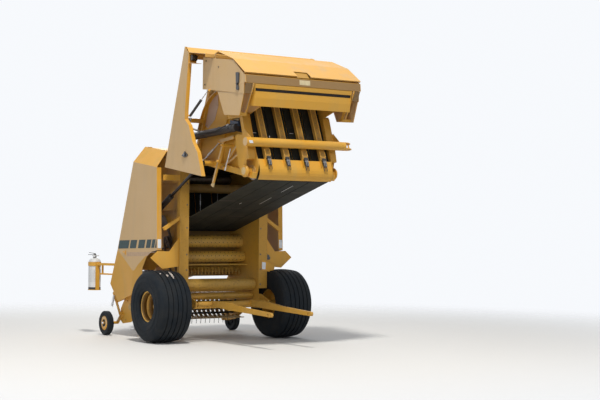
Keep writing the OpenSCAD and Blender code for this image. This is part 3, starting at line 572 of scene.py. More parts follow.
def shield_trim(s, side):
    """Return flanges, the stripe's slanted blocks, left bare of words, a reflector and a handle."""
    body = "door_" + side
    Y = SHIELD_Y
    out = Vector((0, s, 0))

    def v(x, y, z):
        return at(x, s * y, z)

    rear = ((0.04, 1.299), (0.0765, fold_z(0.08) - 0.002))
    front = ((0.807, fold_z(0.8) - 0.004), (1.291, 1.294))
    with piece("shield_flanges_" + side, "gold", body) as bm:
        for (x0, z0), (x1, z1), w, t in ((*rear, 0.075, 1), (*front, 0.04, -1)):
            along = Vector((x1 - x0, 0, z1 - z0)).normalized()
            pts = [v(x0, Y - 0.003, z0), v(x1, Y - 0.003, z1), v(x1, Y - w, z1), v(x0, Y - w, z0)]
            add_prism(bm, pts, Vector((along.z, 0, -along.x)) * 0.004 * t, 0.0012)
    stripe_h, lean, rear_x = 0.122, 0.04, 0.05

    def stripe_z(x):
        return 1.336 - 0.0257 * x

    face_y = Y + 0.0001
    with piece("stripe_" + side, "teal", body) as bm:
        for a, b in ((rear_x, 0.099), (0.122, 0.214), (0.244, 0.379), (0.43, 0.627), (0.69, 0.891),
                (0.932, 1.268)):
            foot = [v(x, face_y, stripe_z(x)) for x in (a, b)]
            head = [v(max(x - lean, rear_x), face_y, stripe_z(x) + stripe_h) for x in (b, a)]
            add_prism(bm, foot + head, out * 0.0012)
    with piece("film_" + side, "faint", body) as bm:
        add_plate(bm, at, s * face_y, out * 0.0008, 0,
            ((0.33, 1.215), (0.98, 1.195), (0.98, 1.255), (0.2, 1.275)))
    with piece("reflector_" + side, "reflector", body) as bm:
        corners = ((0.0405, 0.012, 1.33), (0.0445, 0.012, 1.455), (0.0445, 0.066, 1.455),
            (0.0405, 0.066, 1.33))
        add_prism(bm, [v(x, Y - y, z) for x, y, z in corners], FORWARD * -0.004, 0.001)
    with piece("handle_" + side, "gold", body) as bm:
        add_plate(bm, at, s * Y, out * 0.012, 0.004,
            ((1.005, 1.285), (1.06, 1.285), (1.045, 1.225), (1.015, 1.215)))
        bow = ((1.015, 0.01, 1.235), (1.01, 0.03, 1.25), (1.05, 0.03, 1.258), (1.052, 0.01, 1.27))
        grip = [v(x, Y + y, z) for x, y, z in bow]
        add_tube(bm, smooth_path(grip), 0.005)


for s, side in SIDES:
    shield_skin(s, side)
    shield_trim(s, side)


# The loop of the belts: the path round the rollers, as in the part
def tangent(c, d):
    """The direction of a belt that runs from roller c to roller d."""
    dx, dz = d[0] - c[0], d[1] - c[1]
    return math.atan2(dz, dx) - math.asin((d[2] - c[2]) / math.hypot(dx, dz))


def rim(c, a):
    """Where a belt that runs along a leaves roller c."""
    return c[0] + c[2] * math.sin(a), c[1] - c[2] * math.cos(a)


def opened(c):
    """A roller of the shut gate where it is with the gate open."""
    x, z = swing(c[0], c[1])
    return x - AX, z, c[2]


def between(a, b, n, t0=0.0, t1=1.0):
    """Points from the part t0 to the part t1 of the way from a to b, in n steps."""
    parts = [t0 + (t1 - t0) * i / n for i in range(n + 1)]
    return [(a[0] + (b[0] - a[0]) * t, a[1] + (b[1] - a[1]) * t) for t in parts]


BELT_N, BELT_W, BELT_T, PITCH = 4, 0.282, 0.008, 0.295
BELT_Y = [-0.59 + PITCH * (i + 0.5) for i in range(BELT_N)]
G_LOW, G_REAR, G_TOP = (-0.14, 0.905, 0.1187), (-1.0, 1.4, 0.0807), (-1.08, 2.18, 0.0807)
F_DRIVE, F_TOP, F_PIVOT = (0.68, 1.69, 0.1057), (0.83, 2.36, 0.0707), (-0.07, 2.6, -0.0537)


def strips(name, pts, body, mat="belt", lift=0.0, thick=BELT_T, spans=None):
    """Strips that lie along pts, thickened to the right of the way they run."""
    bm = bmesh.new()
    for y, w in spans or [(y, BELT_W) for y in BELT_Y]:
        rows = []
        for i, (x, z) in enumerate(pts):
            a, b = pts[max(i - 1, 0)], pts[min(i + 1, len(pts) - 1)]
            d = math.hypot(b[0] - a[0], b[1] - a[1])
            n = ((b[1] - a[1]) / d, -(b[0] - a[0]) / d)
            (x0, z0), (x1, z1) = [(x + n[0] * h, z + n[1] * h) for h in (lift, lift + thick)]
            left, right = y - w / 2, y + w / 2
            rows.append([bm.verts.new(at(*p))
                for p in ((x0, left, z0), (x0, right, z0), (x1, right, z1), (x1, left, z1))])
        skin(bm, rows)
    return put(name, bm, mat, body)


def belt_loop():
    """The long run from gate to frame, blended across the hinge with its marks, and two short runs on top."""
    g_low, g_top = opened(G_LOW), opened(G_TOP)
    low_a = tangent(g_low, F_DRIVE)
    low_0, low_1 = rim(g_low, low_a), rim(F_DRIVE, low_a)
    length = math.hypot(low_1[0] - low_0[0], low_1[1] - low_0[1])
    low = strips("belts_low", between(low_0, low_1, 40, 0.001, 0.999), None)
    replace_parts(low, "belts_span")
    marks = [low]
    for k, (s0, s1, y, w) in enumerate(((0.19, 0.49, -0.145, 0.01), (0.76, 1.08, -0.15, 0.01),
            (1.04, 1.1, 0.172, 0.012))):
        run = between(low_0, low_1, 6, s0 / length, s1 / length)
        marks.append(strips("belt_scuff_%d" % k, run, None, "lacing", BELT_T, 0.0006, [(y, w)]))
    for k, (s0, i) in enumerate(((0.494, 0), (1.3, 2), (0.95, 3), (1.72, 1))):
        run = between(low_0, low_1, 1, s0 / length, (s0 + 0.008) / length)
        marks.append(strips("belt_lacing_%d" % k, run, None, "chain", BELT_T, 0.0012,
            [(BELT_Y[i], BELT_W - 0.01)]))
    for o in marks:
        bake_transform(o)
    top_a, top_b = tangent(F_TOP, F_PIVOT), tangent(F_PIVOT, g_top)
    turn = [rim(F_PIVOT, top_a + (top_b - top_a) * k / 6) for k in range(7)]
    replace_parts(strips("belts_top_front", [rim(F_TOP, top_a)] + turn[:4], "frame"), "belts_span")
    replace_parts(strips("belts_top_gate", turn[3:] + [rim(g_top, top_b)], "gate"), "belts_span")


belt_loop()

# The run of the belts under the slats, and places along it
grow = [(c[0], c[1], c[2] - 0.0007 + BELT_T) for c in (G_LOW, G_REAR)]
RUN = tangent(grow[1], grow[0])
RUN_0 = rim(grow[0], RUN)


def on_run(s, y, n):
    """s back along the lower run of the shut gate's belts and n out of it."""
    x = RUN_0[0] - math.cos(RUN) * s + math.sin(RUN) * n
    z = RUN_0[1] - math.sin(RUN) * s - math.cos(RUN) * n
    return gate(x, y, z)


def run_outline(y, n, pts):
    """The corners (s, distance from y) of a plate that lies n out of the run."""
    return [on_run(s, y + e, n) for s, e in pts]


OUT_N = (on_run(0, 0, 1) - on_run(0, 0, 0)).normalized()
ALONG = (on_run(1, 0, 0) - on_run(0, 0, 0)).normalized()
SLAT_0, SLAT_1 = 0.13, 0.875


def slat_details():
    """Straps, holes, ribs and catches on the slats, and lacing of the belts between them."""
    with piece("slat_holes", "shade", "gate") as bm:
        for y in BELT_Y:
            for s0 in (0.135 + 0.075 * i for i in range(11)):
                if abs(s0 - 0.3) > 0.07:
                    ring = [(0, 0.0095), (0.0032, 0.0095), (0.004, 0.008), (0.0032, 0.004)]
                    add_lathe(bm, on_run(s0, y, 0.084) - OUT_N * 0.003, OUT_N, ring, 20)
    # The ribs along the slats carry a painted highlight
    with piece("slat_ribs", "edge", "gate") as bm:
        for y in BELT_Y:
            for e in (-0.0385, 0.0385):
                for s0, s1 in ((0.15, 0.228), (0.372, SLAT_1)):
                    add_block(bm, on_run(s0, y + e, 0.084), on_run(s1, y + e, 0.084), 0.0085, 0.012, OUT_N,
                        0.0015)
    strap = ((SLAT_0, -0.034), (SLAT_0, 0.034), (SLAT_1, 0.034), (SLAT_1, -0.034))
    # The straps are darkened with painted shade
    with piece("slat_straps", "slat", "gate") as bm:
        for y in BELT_Y:
            add_prism(bm, run_outline(y, 0.0801, strap), OUT_N * 0.0035, 0.001)
    with piece("slat_catches", "steel", "gate") as bm:
        for y in BELT_Y:
            for e in (-0.012, 0.012):
                add_block(bm, on_run(0.09, y + e, 0.0975), on_run(0.006, y + e, 0.0975), 0.008, 0.006, OUT_N,
                    0.0015)
            add_rod(bm, on_run(0.07, y - 0.03, 0.0955), on_run(0.07, y + 0.03, 0.0955), 0.0045, 10, 0.001)
    housing = ((-0.006, -0.024), (-0.006, 0.024), (0.02, 0.03), (0.128, 0.03), (0.128, -0.03), (0.02, -0.03))
    hook = ((-0.004, 1, 0), (-0.024, 1.05, 0.002), (-0.044, 1.15, -0.004), (-0.056, 1.25, -0.014))
    with piece("slat_clamps", "black", "gate") as bm:
        for y in BELT_Y:
            add_prism(bm, run_outline(y, 0.0845, housing), OUT_N * 0.01, 0.002)
            for e in (-0.02, 0.02):
                add_bolt(bm, on_run(0.112, y + e, 0.094), OUT_N, 0.008, 0.006)
                add_tube(bm, [on_run(t, y + e * k, 0.088 + h) for t, k, h in hook], 0.0034, 8)
    with piece("run_lacing", "lacing", "gate") as bm:
        for y, s0, w in ((BELT_Y[2] - 0.06, 0.545, 0.04), (BELT_Y[1] + 0.08, 0.52, 0.03),
                (BELT_Y[3] + 0.085, 0.5, 0.03)):
            add_prism(bm, run_outline(y, 0.0002, ((s0, -w), (s0, w), (s0 + 0.01, w), (s0 + 0.01, -w))),
                OUT_N * 0.002, 0.0006)


def tube_details():
    """Caps and a reflector on the tube behind the slats, and the fork on its right end."""
    tube, tube_r, end_y = on_run(0.3, 0, 0.14), 0.058, 0.7902
    out = Vector((0, 1, 0))
    with piece("tube_cap", "gold", "gate") as bm:
        add_rod(bm, tube + out * end_y, tube + out * 0.796, tube_r, 40, 0.002)
    with piece("tube_reflector", "reflector", "gate") as bm:
        corners = ((0.775, 0.15), (0.72, 0.15), (0.705, 0.75), (0.76, 0.75))
        around = [(y, OUT_N * math.cos(t) - ALONG * math.sin(t)) for y, t in corners]
        add_prism(bm, [tube + out * y + u * 0.0606 for y, u in around], OUT_N * 0.003)
    prong = ((-0.04, 0), (0.04, 0), (0.034, 0.07), (0.01, 0.115), (-0.012, 0.115), (-0.036, 0.07))
    with piece("tube_fork", "gold", "gate") as bm:
        for e in (-1, 1):
            foot = tube - out * 0.788 + ALONG * 0.034 * e
            add_prism(bm, [foot + OUT_N * a - out * b for a, b in prong], ALONG * 0.014 * e, 0.003)
        pin = tube - out * 0.868
        add_rod(bm, pin - ALONG * 0.056, pin + ALONG * 0.056, 0.011, 16, 0.002)
        add_rod(bm, tube - out * end_y, tube - out * 0.796, tube_r, 40, 0.002)


slat_details()

# Sides of the gate and the frame
OUT = 0.596
DRUMS = ((0.49, 1.425), (0.42, 1.2), (0.115, 0.8))


def add_bearing(bm, c, d, r=0.055):
    """A flanged bearing with its bolts and the end of the shaft."""
    a, b = frame_of(d)
    add_rod(bm, c, c + d * 0.01, r, 28, 0.002)
    add_rod(bm, c + d * 0.008, c + d * 0.026, r * 0.66, 28, 0.004)
    add_rod(bm, c + d * 0.02, c + d * 0.036, r * 0.34, 20, 0.003)
    for t in (math.pi / 4 + k * math.pi / 2 for k in range(4)):
        add_bolt(bm, c + d * 0.01 + (a * math.cos(t) + b * math.sin(t)) * r * 0.82, d, 0.008, 0.006)


def bearings(s, side, d):
    """Bearings on the outsides of the sheets, and the low roller's hub outside the skirt plate."""
    face_y = s * (OUT + 0.0002)
    with piece("gate_bearings_" + side, "worn", "gate") as bm:
        for c, r in ((G_LOW, 0.084), (G_REAR, 0.062), (G_TOP, 0.062)):
            add_bearing(bm, gate(c[0], face_y, c[1]), d, r)
    # On the left the chains take the place of four of them
    behind_chains = (F_DRIVE, *DRUMS) if s < 0 else ()
    with piece("frame_bearings_" + side, "worn", "frame") as bm:
        for c in (F_TOP, (0.3, 1.085), (0.56, 1.01), (0.15, 0.63), *behind_chains):
            add_bearing(bm, at(c[0], face_y, c[1]), d, 0.058)
    hub = gate(G_LOW[0], s * (OUT + 0.1102), G_LOW[1])
    with piece("roller_hub_" + side, "facet", "gate") as bm:
        add_lathe(bm, hub - d * 0.076, d, [(0, 0.05), (0.075, 0.05), (0.0755, 0.084), (0.086, 0.084),
            (0.089, 0.078), (0.1, 0.072), (0.103, 0.066)], 48)
        for k in range(6):
            add_bolt(bm, polar(hub + d * 0.012, 0.0785, math.pi * (k + 0.5) / 3), d, 0.006, 0.005, False)
    with piece("shaft_disc_" + side, "faded", "gate") as bm:
        add_lathe(bm, hub, d,
            [(0.0271, 0.05), (0.03, 0.05), (0.0315, 0.046), (0.0315, 0.018), (0.0345, 0.016), (0.035, 0)], 40)


def latch(s, side, d):
    """The latch arm's foot, its rib and its spring rod."""
    y = s * 0.752
    with piece("latch_foot_" + side, "faded", "gate") as bm:
        add_plate(bm, gate, y - 0.01, Vector((0, 0.02, 0)), 0.003,
            ((0.122, 1.6), (0.188, 1.612), (0.173, 1.672), (0.15, 1.668), (0.138, 1.64)))
    with piece("latch_rib_" + side, "gold", "gate") as bm:
        add_plate(bm, gate, y + s * 0.0095, d * 0.006, 0.002,
            ((-0.45, 1.432), (-0.44, 1.478), (0.118, 1.64), (0.125, 1.606)))
        for x, z in ((-0.41, 1.466), (-0.18, 1.534)):
            add_rod(bm, gate(x, y + s * 0.008, z), gate(x, y + s * 0.03, z), 0.02, 20, 0.003)
            add_bolt(bm, gate(x, y + s * 0.03, z), d, 0.011)
    y -= s * 0.04
    with piece("latch_rod_" + side, "zinc", "gate") as bm:
        add_rod(bm, gate(-0.38, y, 1.33), gate(-0.085, y, 1.415), 0.008, 12, 0.002)
        add_rod(bm, gate(-0.115, y, 1.406), gate(-0.072, y, 1.419), 0.014, 12, 0.003)


def gate_struts(s, side, d):
    """Struts and a tie rod on the side of the gate."""
    low, high = (-0.465, 1.251), (-0.1, 1.56)
    with piece("gate_struts_" + side, "gold", "gate") as bm:
        for (x0, z0), (x1, z1), y, w, h in ((low, high, 0.64, 0.03, 0.03),
                                            ((-0.33, 1.2), (-0.085, 1.6), 0.655, 0.026, 0.012),
                                            ((-0.425, 1.745), (-0.535, 1.37), 0.65, 0.05, 0.016)):
            add_block(bm, gate(x0, s * y, z0), gate(x1, s * y, z1), w, h, d)
        for x, z in (low, high, (-0.33, 1.2), (-0.425, 1.745), (-0.535, 1.37)):
            add_rod(bm, gate(x, s * OUT, z), gate(x, s * 0.668, z), 0.017, 18, 0.003)
            add_bolt(bm, gate(x, s * 0.668, z), d, 0.01)
    ends = ((-0.405, 1.76), (-0.115, 2.128))
    with piece("gate_rod_" + side, "zinc", "gate") as bm:
        add_rod(bm, *outline(gate, s * 0.648, ends), 0.009, 12, 0.002)
        add_rod(bm, *outline(gate, s * 0.648, ((-0.3, 1.893), (-0.2, 2.02))), 0.015, 14, 0.003)
        for x, z in ends:
            add_rod(bm, gate(x, s * OUT, z), gate(x, s * 0.662, z), 0.014, 16, 0.002)


def gate_rail(s, side, d):
    """A curved rail and a pale plate on the side of the gate, beside the cylinder."""
    arc = smooth_path(outline(gate, s * 0.62, ((-1.09, 1.96), (-0.985, 2.12), (-0.79, 2.27), (-0.505, 2.36))),
        6)
    ends = [(arc[max(i - 1, 0)], arc[min(i + 1, len(arc) - 1)]) for i in range(len(arc))]
    square = [(q - p).normalized().cross(d).normalized() for p, q in ends]
    section = ((-0.006, -0.022), (0.006, -0.022), (0.006, 0.045), (-0.006, 0.045))
    with piece("gate_rail_" + side, "gold", "gate") as bm:
        skin(bm, [[bm.verts.new(p + n * a + d * e) for a, e in section] for p, n in zip(arc, square)])
    sheet = ((-1.07, 2.15), (-0.96, 2.235), (-0.76, 2.335), (-0.62, 2.36), (-0.56, 2.18), (-0.7, 2.02),
        (-0.9, 1.96), (-1.05, 1.99))
    with piece("gate_plate_" + side, "rosy", "gate") as bm:
        add_plate(bm, gate, s * (OUT + 0.0003), d * 0.004, 0.001, sheet)
        add_bolts(bm, gate, s * (OUT + 0.004), d, ((-1.03, 2.11), (-0.8, 2.29), (-0.6, 2.2), (-0.9, 1.99)))


def gas_strut(s, side, d):
    """The gas strut that holds the rear shield, and its brackets."""
    p, q = gate(-0.73, s * 0.985, 2.03), gate(-1.118, s * 0.95, 1.672)
    with piece("gas_strut_" + side, "black", "gate") as bm:
        add_rod(bm, p, p + (q - p) * 0.6, 0.018, 20, 0.003)
        add_rod(bm, p + (q - p) * 0.59, p + (q - p) * 0.62, 0.02, 20, 0.002)
    with piece("gas_rod_" + side, "chrome", "gate") as bm:
        add_rod(bm, p + (q - p) * 0.6, q, 0.008, 14)
        for c in (p, q):
            add_rod(bm, c - d * 0.016, c + d * 0.016, 0.012, 16, 0.002)
    with piece("gas_brackets_" + side, "gold", "gate") as bm:
        add_block(bm, q - d * 0.034, q + d * 0.004, 0.026, 0.026)
        add_block(bm, p, gate(-0.735, s * 1.01, 2.046), 0.022, 0.022)


def lamps(s, side, d):
    """The tail lamp in its recess, and the marker lamp on the rear shield."""
    with piece("lamp_plate_" + side, "gold", "gate") as bm:
        for pts in (((-1.59, 2.12), (-1.44, 2.108), (-1.44, 2.102), (-1.59, 2.112)),
                    ((-1.446, 2.112), (-1.44, 2.112), (-1.452, 1.96), (-1.458, 1.96))):
            add_plate(bm, gate, s * 0.926, d * 0.126, 0.001, pts)
    with piece("tail_lamp_" + side, "lamp", "gate", True) as bm:
        add_plate(bm, gate, s * 0.95, d * 0.085, 0.006, ((-1.56, 2.104), (-1.478, 2.098), (-1.484, 2.046),
            (-1.5, 2.034), (-1.548, 2.038), (-1.564, 2.052)))
    y = s * 1.0602
    with piece("marker_base_" + side, "lamp", "gate") as bm:
        add_plate(bm, gate, y, d * 0.012, 0.004,
            ((-0.178, 2.012), (-0.252, 1.938), (-0.214, 1.846), (-0.2, 1.85), (-0.165, 1.925)))
    with piece("marker_lens_" + side, "lamp_dark", "gate", True) as bm:
        add_rod(bm, gate(-0.208, y + s * 0.01, 1.925), gate(-0.208, y + s * 0.024, 1.925), 0.026, 24, 0.006)


def box_side(s, side, d):
    """The catch and the bolts on the side of the net box."""
    y = s * 0.9202
    body = ((-1.412, 1.024), (-1.42, 0.986), (-1.42, 0.95), (-1.412, 0.941), (-1.3, 0.925), (-1.262, 0.945),
        (-1.21, 0.905), (-1.19, 0.925), (-1.192, 0.965), (-1.215, 0.978), (-1.262, 0.968), (-1.3, 0.995))
    with piece("catch_" + side, "lamp", "gate") as bm:
        add_plate(bm, gate, y, d * 0.016, 0.004, body)
        add_rod(bm, gate(-1.272, y + s * 0.012, 0.958), gate(-1.272, y + s * 0.028, 0.958), 0.014, 16, 0.003)
    with piece("box_bolts_" + side, "bolt", "gate") as bm:
        add_bolts(bm, gate, y, d, ((-1.115, 1.52), (-1.45, 1.5), (-1.5, 1.85), (-1.18, 1.82)))


def gate_cylinder(s, side, d):
    """Bands and ports of the cylinder on the side of the gate, and the valve block at its foot."""
    p, q = gate(-0.416, s * 0.72, 2.369), gate(-0.681, s * 0.72, 1.211)
    u = (q - p).normalized()
    with piece("cylinder_bands_" + side, "black", "gate") as bm:
        for t, r in ((0.02, 0.057), (0.3, 0.055), (0.62, 0.055), (0.93, 0.057)):
            c = p + (q - p) * t
            add_rod(bm, c - u * 0.018, c + u * 0.018, r, 32, 0.003)
        for t in (0.06, 0.88):
            c = p + (q - p) * t
            add_rod(bm, c, c + d * 0.066, 0.014, 16, 0.002)
    with piece("valve_block_" + side, "blue_block", "gate") as bm:
        add_plate(bm, gate, s * 0.6562, d * 0.05, 0.006,
            ((-0.756, 1.425), (-0.628, 1.425), (-0.628, 1.215), (-0.756, 1.215)))
        add_rod(bm, gate(-0.69, s * 0.704, 1.38), gate(-0.69, s * 0.735, 1.38), 0.02, 6, 0.003)
        add_rod(bm, gate(-0.69, s * 0.704, 1.25), gate(-0.69, s * 0.728, 1.25), 0.014, 16, 0.003)
    with piece("block_tag_" + side, "plate", "gate") as bm:
        add_plate(bm, gate, s * 0.64, d * 0.012, 0.002,
            ((-0.806, 1.42), (-0.764, 1.42), (-0.764, 1.3), (-0.806, 1.31)))


def box_underside(s, side, d):
    """The gusset from the beam to the lower panel of the net box, a dark recess and a strut."""
    y = s * 0.7704
    with piece("beam_gusset_" + side, "facet", "gate") as bm:
        add_plate(bm, gate, y, d * 0.006, 0.001,
            ((-1.296, 0.77), (-1.24, 0.77), (-0.99, 0.862), (-0.905, 0.905), (-0.88, 0.96), (-1.01, 0.925)))
        add_plate(bm, gate, y, d * 0.135, 0.002,
            ((-0.905, 0.905), (-0.865, 0.905), (-0.855, 0.995), (-0.895, 0.99)))
        add_bolts(bm, gate, s * 0.7764, d, ((-1.2, 0.8), (-1.06, 0.862), (-0.95, 0.905)))
    down = gate(0, 0, -1) - gate(0, 0, 0)
    with piece("box_recess_" + side, "shade", "gate") as bm:
        corners = ((-1.302, 0.7715, 0.7735), (-1.164, 0.7715, 0.804), (-1.164, 0.9075, 0.804),
            (-1.302, 0.9155, 0.7735))
        add_prism(bm, [gate(x, s * y, z) for x, y, z in corners], down * -0.003, 0.0008)
    with piece("box_strut_" + side, "gold", "gate") as bm:
        add_block(bm, gate(-1.3, s * 0.8, 0.762), gate(-0.9, s * 0.8, 0.902), 0.034, 0.014, d, 0.002)
        for x, z in ((-1.27, 0.7655), (-0.93, 0.884)):
            add_bolt(bm, gate(x, s * 0.8, z), down, 0.009, 0.014)


GATE_HOSES = (
    # Name, radius, finish and points of each hose beside a cylinder
    ("hose_a_", 0.009, "hose",
     ((-0.432, 0.786, 2.3), (-0.466, 0.806, 2.15), (-0.53, 0.802, 1.86), (-0.59, 0.802, 1.6),
      (-0.66, 0.79, 1.44), (-0.69, 0.745, 1.4))),
    ("hose_b_", 0.009, "hose",
     ((-0.5, 0.64, 2.15), (-0.545, 0.65, 1.96), (-0.61, 0.646, 1.69), (-0.665, 0.652, 1.52),
      (-0.7, 0.68, 1.44))),
    ("hose_white_", 0.012, "hose_white",
     ((-0.5, 0.64, 2.24), (-0.52, 0.76, 2.17), (-0.56, 0.9, 2.1), (-0.62, 0.96, 2.06),
      (-0.69, 0.975, 2.036))))
for s, side in SIDES:
    for build in (bearings, latch, gate_struts, gate_rail, gas_strut, lamps, box_side, gate_cylinder):
        build(s, side, Vector((0, s, 0)))
for s, side in SIDES:
    for name, r, mat, pts in GATE_HOSES:
        hose(name + side, [gate(x, s * y, z) for x, y, z in pts], r, "gate", mat)
tube_details()

UNDER_LID = (
    # Name, finish, half the width, bevel and outline of each piece across the box
    # The notch's inset is darkened with painted shade
    ("notch_inset", "slat", 0.108, 0.001, ((-1.5, 0.958), (-1.42, 0.835), (-1.412, 0.84), (-1.492, 0.963))),
    ("maker_plate", "plate", 0.085, 0.0006,
     ((-1.392, 0.7885), (-1.33, 0.7712), (-1.3295, 0.7692), (-1.3915, 0.7865))),
    # Painted shade behind the slot
    ("slot_back", "slot_dark", 0.765, 0, ((-1.242, 0.79), (-1.206, 0.79), (-1.206, 0.786), (-1.242, 0.786))),
    ("box_strip", "shade", 0.914, 0,
     ((-1.4065, 0.7938), (-1.3085, 0.7659), (-1.3083, 0.7652), (-1.4063, 0.7931))))
for name, mat, half_w, bevel, pts in UNDER_LID:
    with piece(name, mat, "gate") as bm:
        add_plate(bm, gate, -half_w, Vector((0, 2 * half_w, 0)), bevel, pts)
for s, side in SIDES:
    box_underside(s, side, Vector((0, s, 0)))


def wheel(s, side, d):
    """Hub cap, nuts, valve, a painted highlight on the rim's edges and painted shade in its grooves, and the
    rings on the tyre wall.
    """
    body = "wheel_" + side
    mid = at(0, s * WHEEL_Y, WHEEL_Z)
    nut_r, nut_y, disc_y = 0.104, 0.9498, 0.952

    def across(y):
        return at(0, s * y, WHEEL_Z)

    with piece("hub_cap_" + side, "gold", body, True) as bm:
        add_lathe(bm, across(1.0752), d,
            [(0, 0.05), (0.004, 0.052), (0.022, 0.05), (0.036, 0.04), (0.042, 0.018), (0.043, 0)])
    with piece("wheel_nuts_" + side, "zinc", body) as bm:
        for k in range(8):
            c = polar(across(nut_y), nut_r, 2 * math.pi * (k + 0.5) / 8)
            add_lathe(bm, c, d, [(0, 0.017), (0.004, 0.017), (0.006, 0.013)], 20)
            add_rod(bm, c + d * 0.004, c + d * 0.02, 0.0125, 6, 0.0015)
            add_rod(bm, c + d * 0.018, c + d * 0.03, 0.0065, 10, 0.001)
    with piece("rim_trim_" + side, "gold", body, True) as bm:
        add_ring(bm, across(1.061), d, 0.0745, 0.004, 48)
        add_ring(bm, across(disc_y), d, 0.14, 0.004)
        add_lathe(bm, at(0.15, s * 0.949, WHEEL_Z), d, [(0, 0.009), (0.01, 0.009), (0.012, 0.005),
            (0.046, 0.005), (0.048, 0.0065), (0.06, 0.0065), (0.062, 0)], 14)
    # The rim's lips carry a painted highlight
    with piece("rim_edges_" + side, "edge", body, True) as bm:
        add_lathe(bm, mid, d, [(0.2002, 0.2045), (0.2002, 0.2215), (0.2025, 0.2205), (0.2035, 0.213),
            (0.2025, 0.2055)], 96, True)
        add_ring(bm, mid + d * 0.122, d, 0.1878, 0.0055)
        add_lathe(bm, mid, d, [(0.116, 0.1874), (0.09, 0.1838), (0.09, 0.1848), (0.116, 0.1884)], 96, True)
    # Painted shade in the rim's grooves
    with piece("rim_grooves_" + side, "pit", body, True) as bm:
        outer = [(0.196, 0.2022), (0.176, 0.1954), (0.13, 0.189), (0.13, 0.1902), (0.176, 0.1966),
            (0.196, 0.2034)]
        inner = [(0.086, 0.183), (0.06, 0.1795), (-0.044, 0.1795), (-0.044, 0.1806), (0.06, 0.1806),
            (0.086, 0.1841)]
        for prof in (outer, inner):
            add_lathe(bm, mid, d, prof, 96, True)
    # The tyre wall bulges out round the middle of its height
    wall_r, wall_h, wall_y, bulge = 0.35, 0.148, 1.213, 0.052
    with piece("tyre_rings_" + side, "tyre", body, True) as bm:
        for r in (0.268, 0.33, 0.352, 0.418):
            add_ring(bm, across(wall_y + bulge * math.sqrt(1 - ((r - wall_r) / wall_h) ** 2)), d, r, 0.0035)
        for t in (2 * math.pi * (k / 3 + 0.018 * (j - 3)) for k in range(3) for j in range(7)):
            add_block(bm, polar(across(1.26), 0.373, t), polar(across(1.26), 0.397, t), 0.006, 0.01, d, 0.001)


for s, side in SIDES:
    wheel(s, side, Vector((0, s, 0)))


def tread_mud():
    """Pale marks on the tread of the left tyre, laid on its ribs: partly muddy scuffs, partly a painted
    highlight of the lit ribs.
    """
    tyre = nodes["tyre_left"]
    tree = BVHTree.FromPolygons([tyre.matrix_world @ v.co for v in tyre.data.vertices],
        [p.vertices[:] for p in tyre.data.polygons])
    steps, above = 12, 0.6
    with piece("tread_mud", "mud", "wheel_left") as bm:
        for y0, y1, t0, t1, w in ((0.962, 0.976, -0.27, -0.66, 0.044), (1.044, 1.048, -0.46, -0.57, 0.038),
                (1.12, 1.122, -0.35, -0.41, 0.026)):
            rows = []
            for i in range(steps + 1):
                t = t0 + (t1 - t0) * i / steps
                uneven = 0.8 + 0.2 * math.sin(i * 2.3)
                width = w * math.sin(math.pi * (i + 0.5) / (steps + 1)) ** 0.5 * uneven
                out = Vector((math.sin(t), 0, math.cos(t)))
                row = []
                for e in (-1, -0.5, 0, 0.5, 1):
                    foot = at(0, y0 + (y1 - y0) * i / steps + e * width / 2 + 0.002 * math.sin(i * 1.7),
                        WHEEL_Z)
                    row.append(bm.verts.new(tree.ray_cast(foot + out * above, -out)[0] + out * 0.001))
                rows.append(row)
            for r0, r1 in zip(rows, rows[1:]):
                for j in range(4):
                    bm.faces.new((r0[j], r0[j + 1], r1[j + 1], r1[j]))
        bmesh.ops.solidify(bm, geom=bm.faces[:], thickness=0.0008)


tread_mud()

# Chains: side plates and rollers of the links, laid along the loops of the part
CHAIN_Y, CHAIN_GAP, LINK = 0.636, 0.034, 0.032
LOOPS = [[(0.98, 1.33, 0.07), (0.68, 1.69, 0.1), (0.49, 1.425, 0.08)],
         [(0.115, 0.8, 0.056), (0.42, 1.2, 0.075), (0.49, 1.425, 0.06)]]


def loop_path(sprockets, lift):
    """The closed path of a chain round its sprockets, which lie on its left."""
    rs = [(x, z, r + lift) for x, z, r in sprockets]
    pts = []
    for i, c in enumerate(rs):
        a, b = tangent(rs[i - 1], c), tangent(c, rs[(i + 1) % len(rs)])
        turn = (b - a) % (2 * math.pi)
        pts += [rim(c, a + turn * k / 24) for k in range(25)]
    return pts + pts[:1]


def even_steps(pts, step):
    """The ends of an even number of equal steps of about this length along a closed path."""
    dist = [0.0]
    for p, q in zip(pts, pts[1:]):
        dist.append(dist[-1] + math.hypot(q[0] - p[0], q[1] - p[1]))
    n = 2 * round(dist[-1] / step / 2)
    out = []
    for t in (dist[-1] * k / n % dist[-1] for k in range(n + 1)):
        i = max(j for j in range(len(dist) - 1) if dist[j] <= t)
        f = (t - dist[i]) / max(dist[i + 1] - dist[i], 1e-9)
        out.append((pts[i][0] + f * (pts[i + 1][0] - pts[i][0]), pts[i][1] + f * (pts[i + 1][1] - pts[i][1])))
    return out


def chain_links():
    plate_r, pin_r, pin_w = 0.0125, 0.0045, 0.015
    with piece("chain_links", "chain", "frame") as bm:
        for k, loop in enumerate(LOOPS):
            y = CHAIN_Y + CHAIN_GAP * k
            stops = even_steps(loop_path(loop, 0.001), LINK)
            for i, (p, q) in enumerate(zip(stops, stops[1:])):
                a = math.atan2(q[1] - p[1], q[0] - p[0])
                off = 0.0094 + 0.0022 * (i % 2)
                turned = ((p, a + math.pi / 2), (q, a - math.pi / 2))
                round_ends = [(c, start + j * math.pi / 4) for c, start in turned for j in range(5)]
                plate = [(c[0] + plate_r * math.cos(t), c[1] + plate_r * math.sin(t)) for c, t in round_ends]
                for e in (-1, 1):
                    add_plate(bm, at, y + e * off, Vector((0, e * 0.002, 0)), 0, plate)
                add_rod(bm, at(p[0], y - pin_w, p[1]), at(p[0], y + pin_w, p[1]), pin_r, 8)


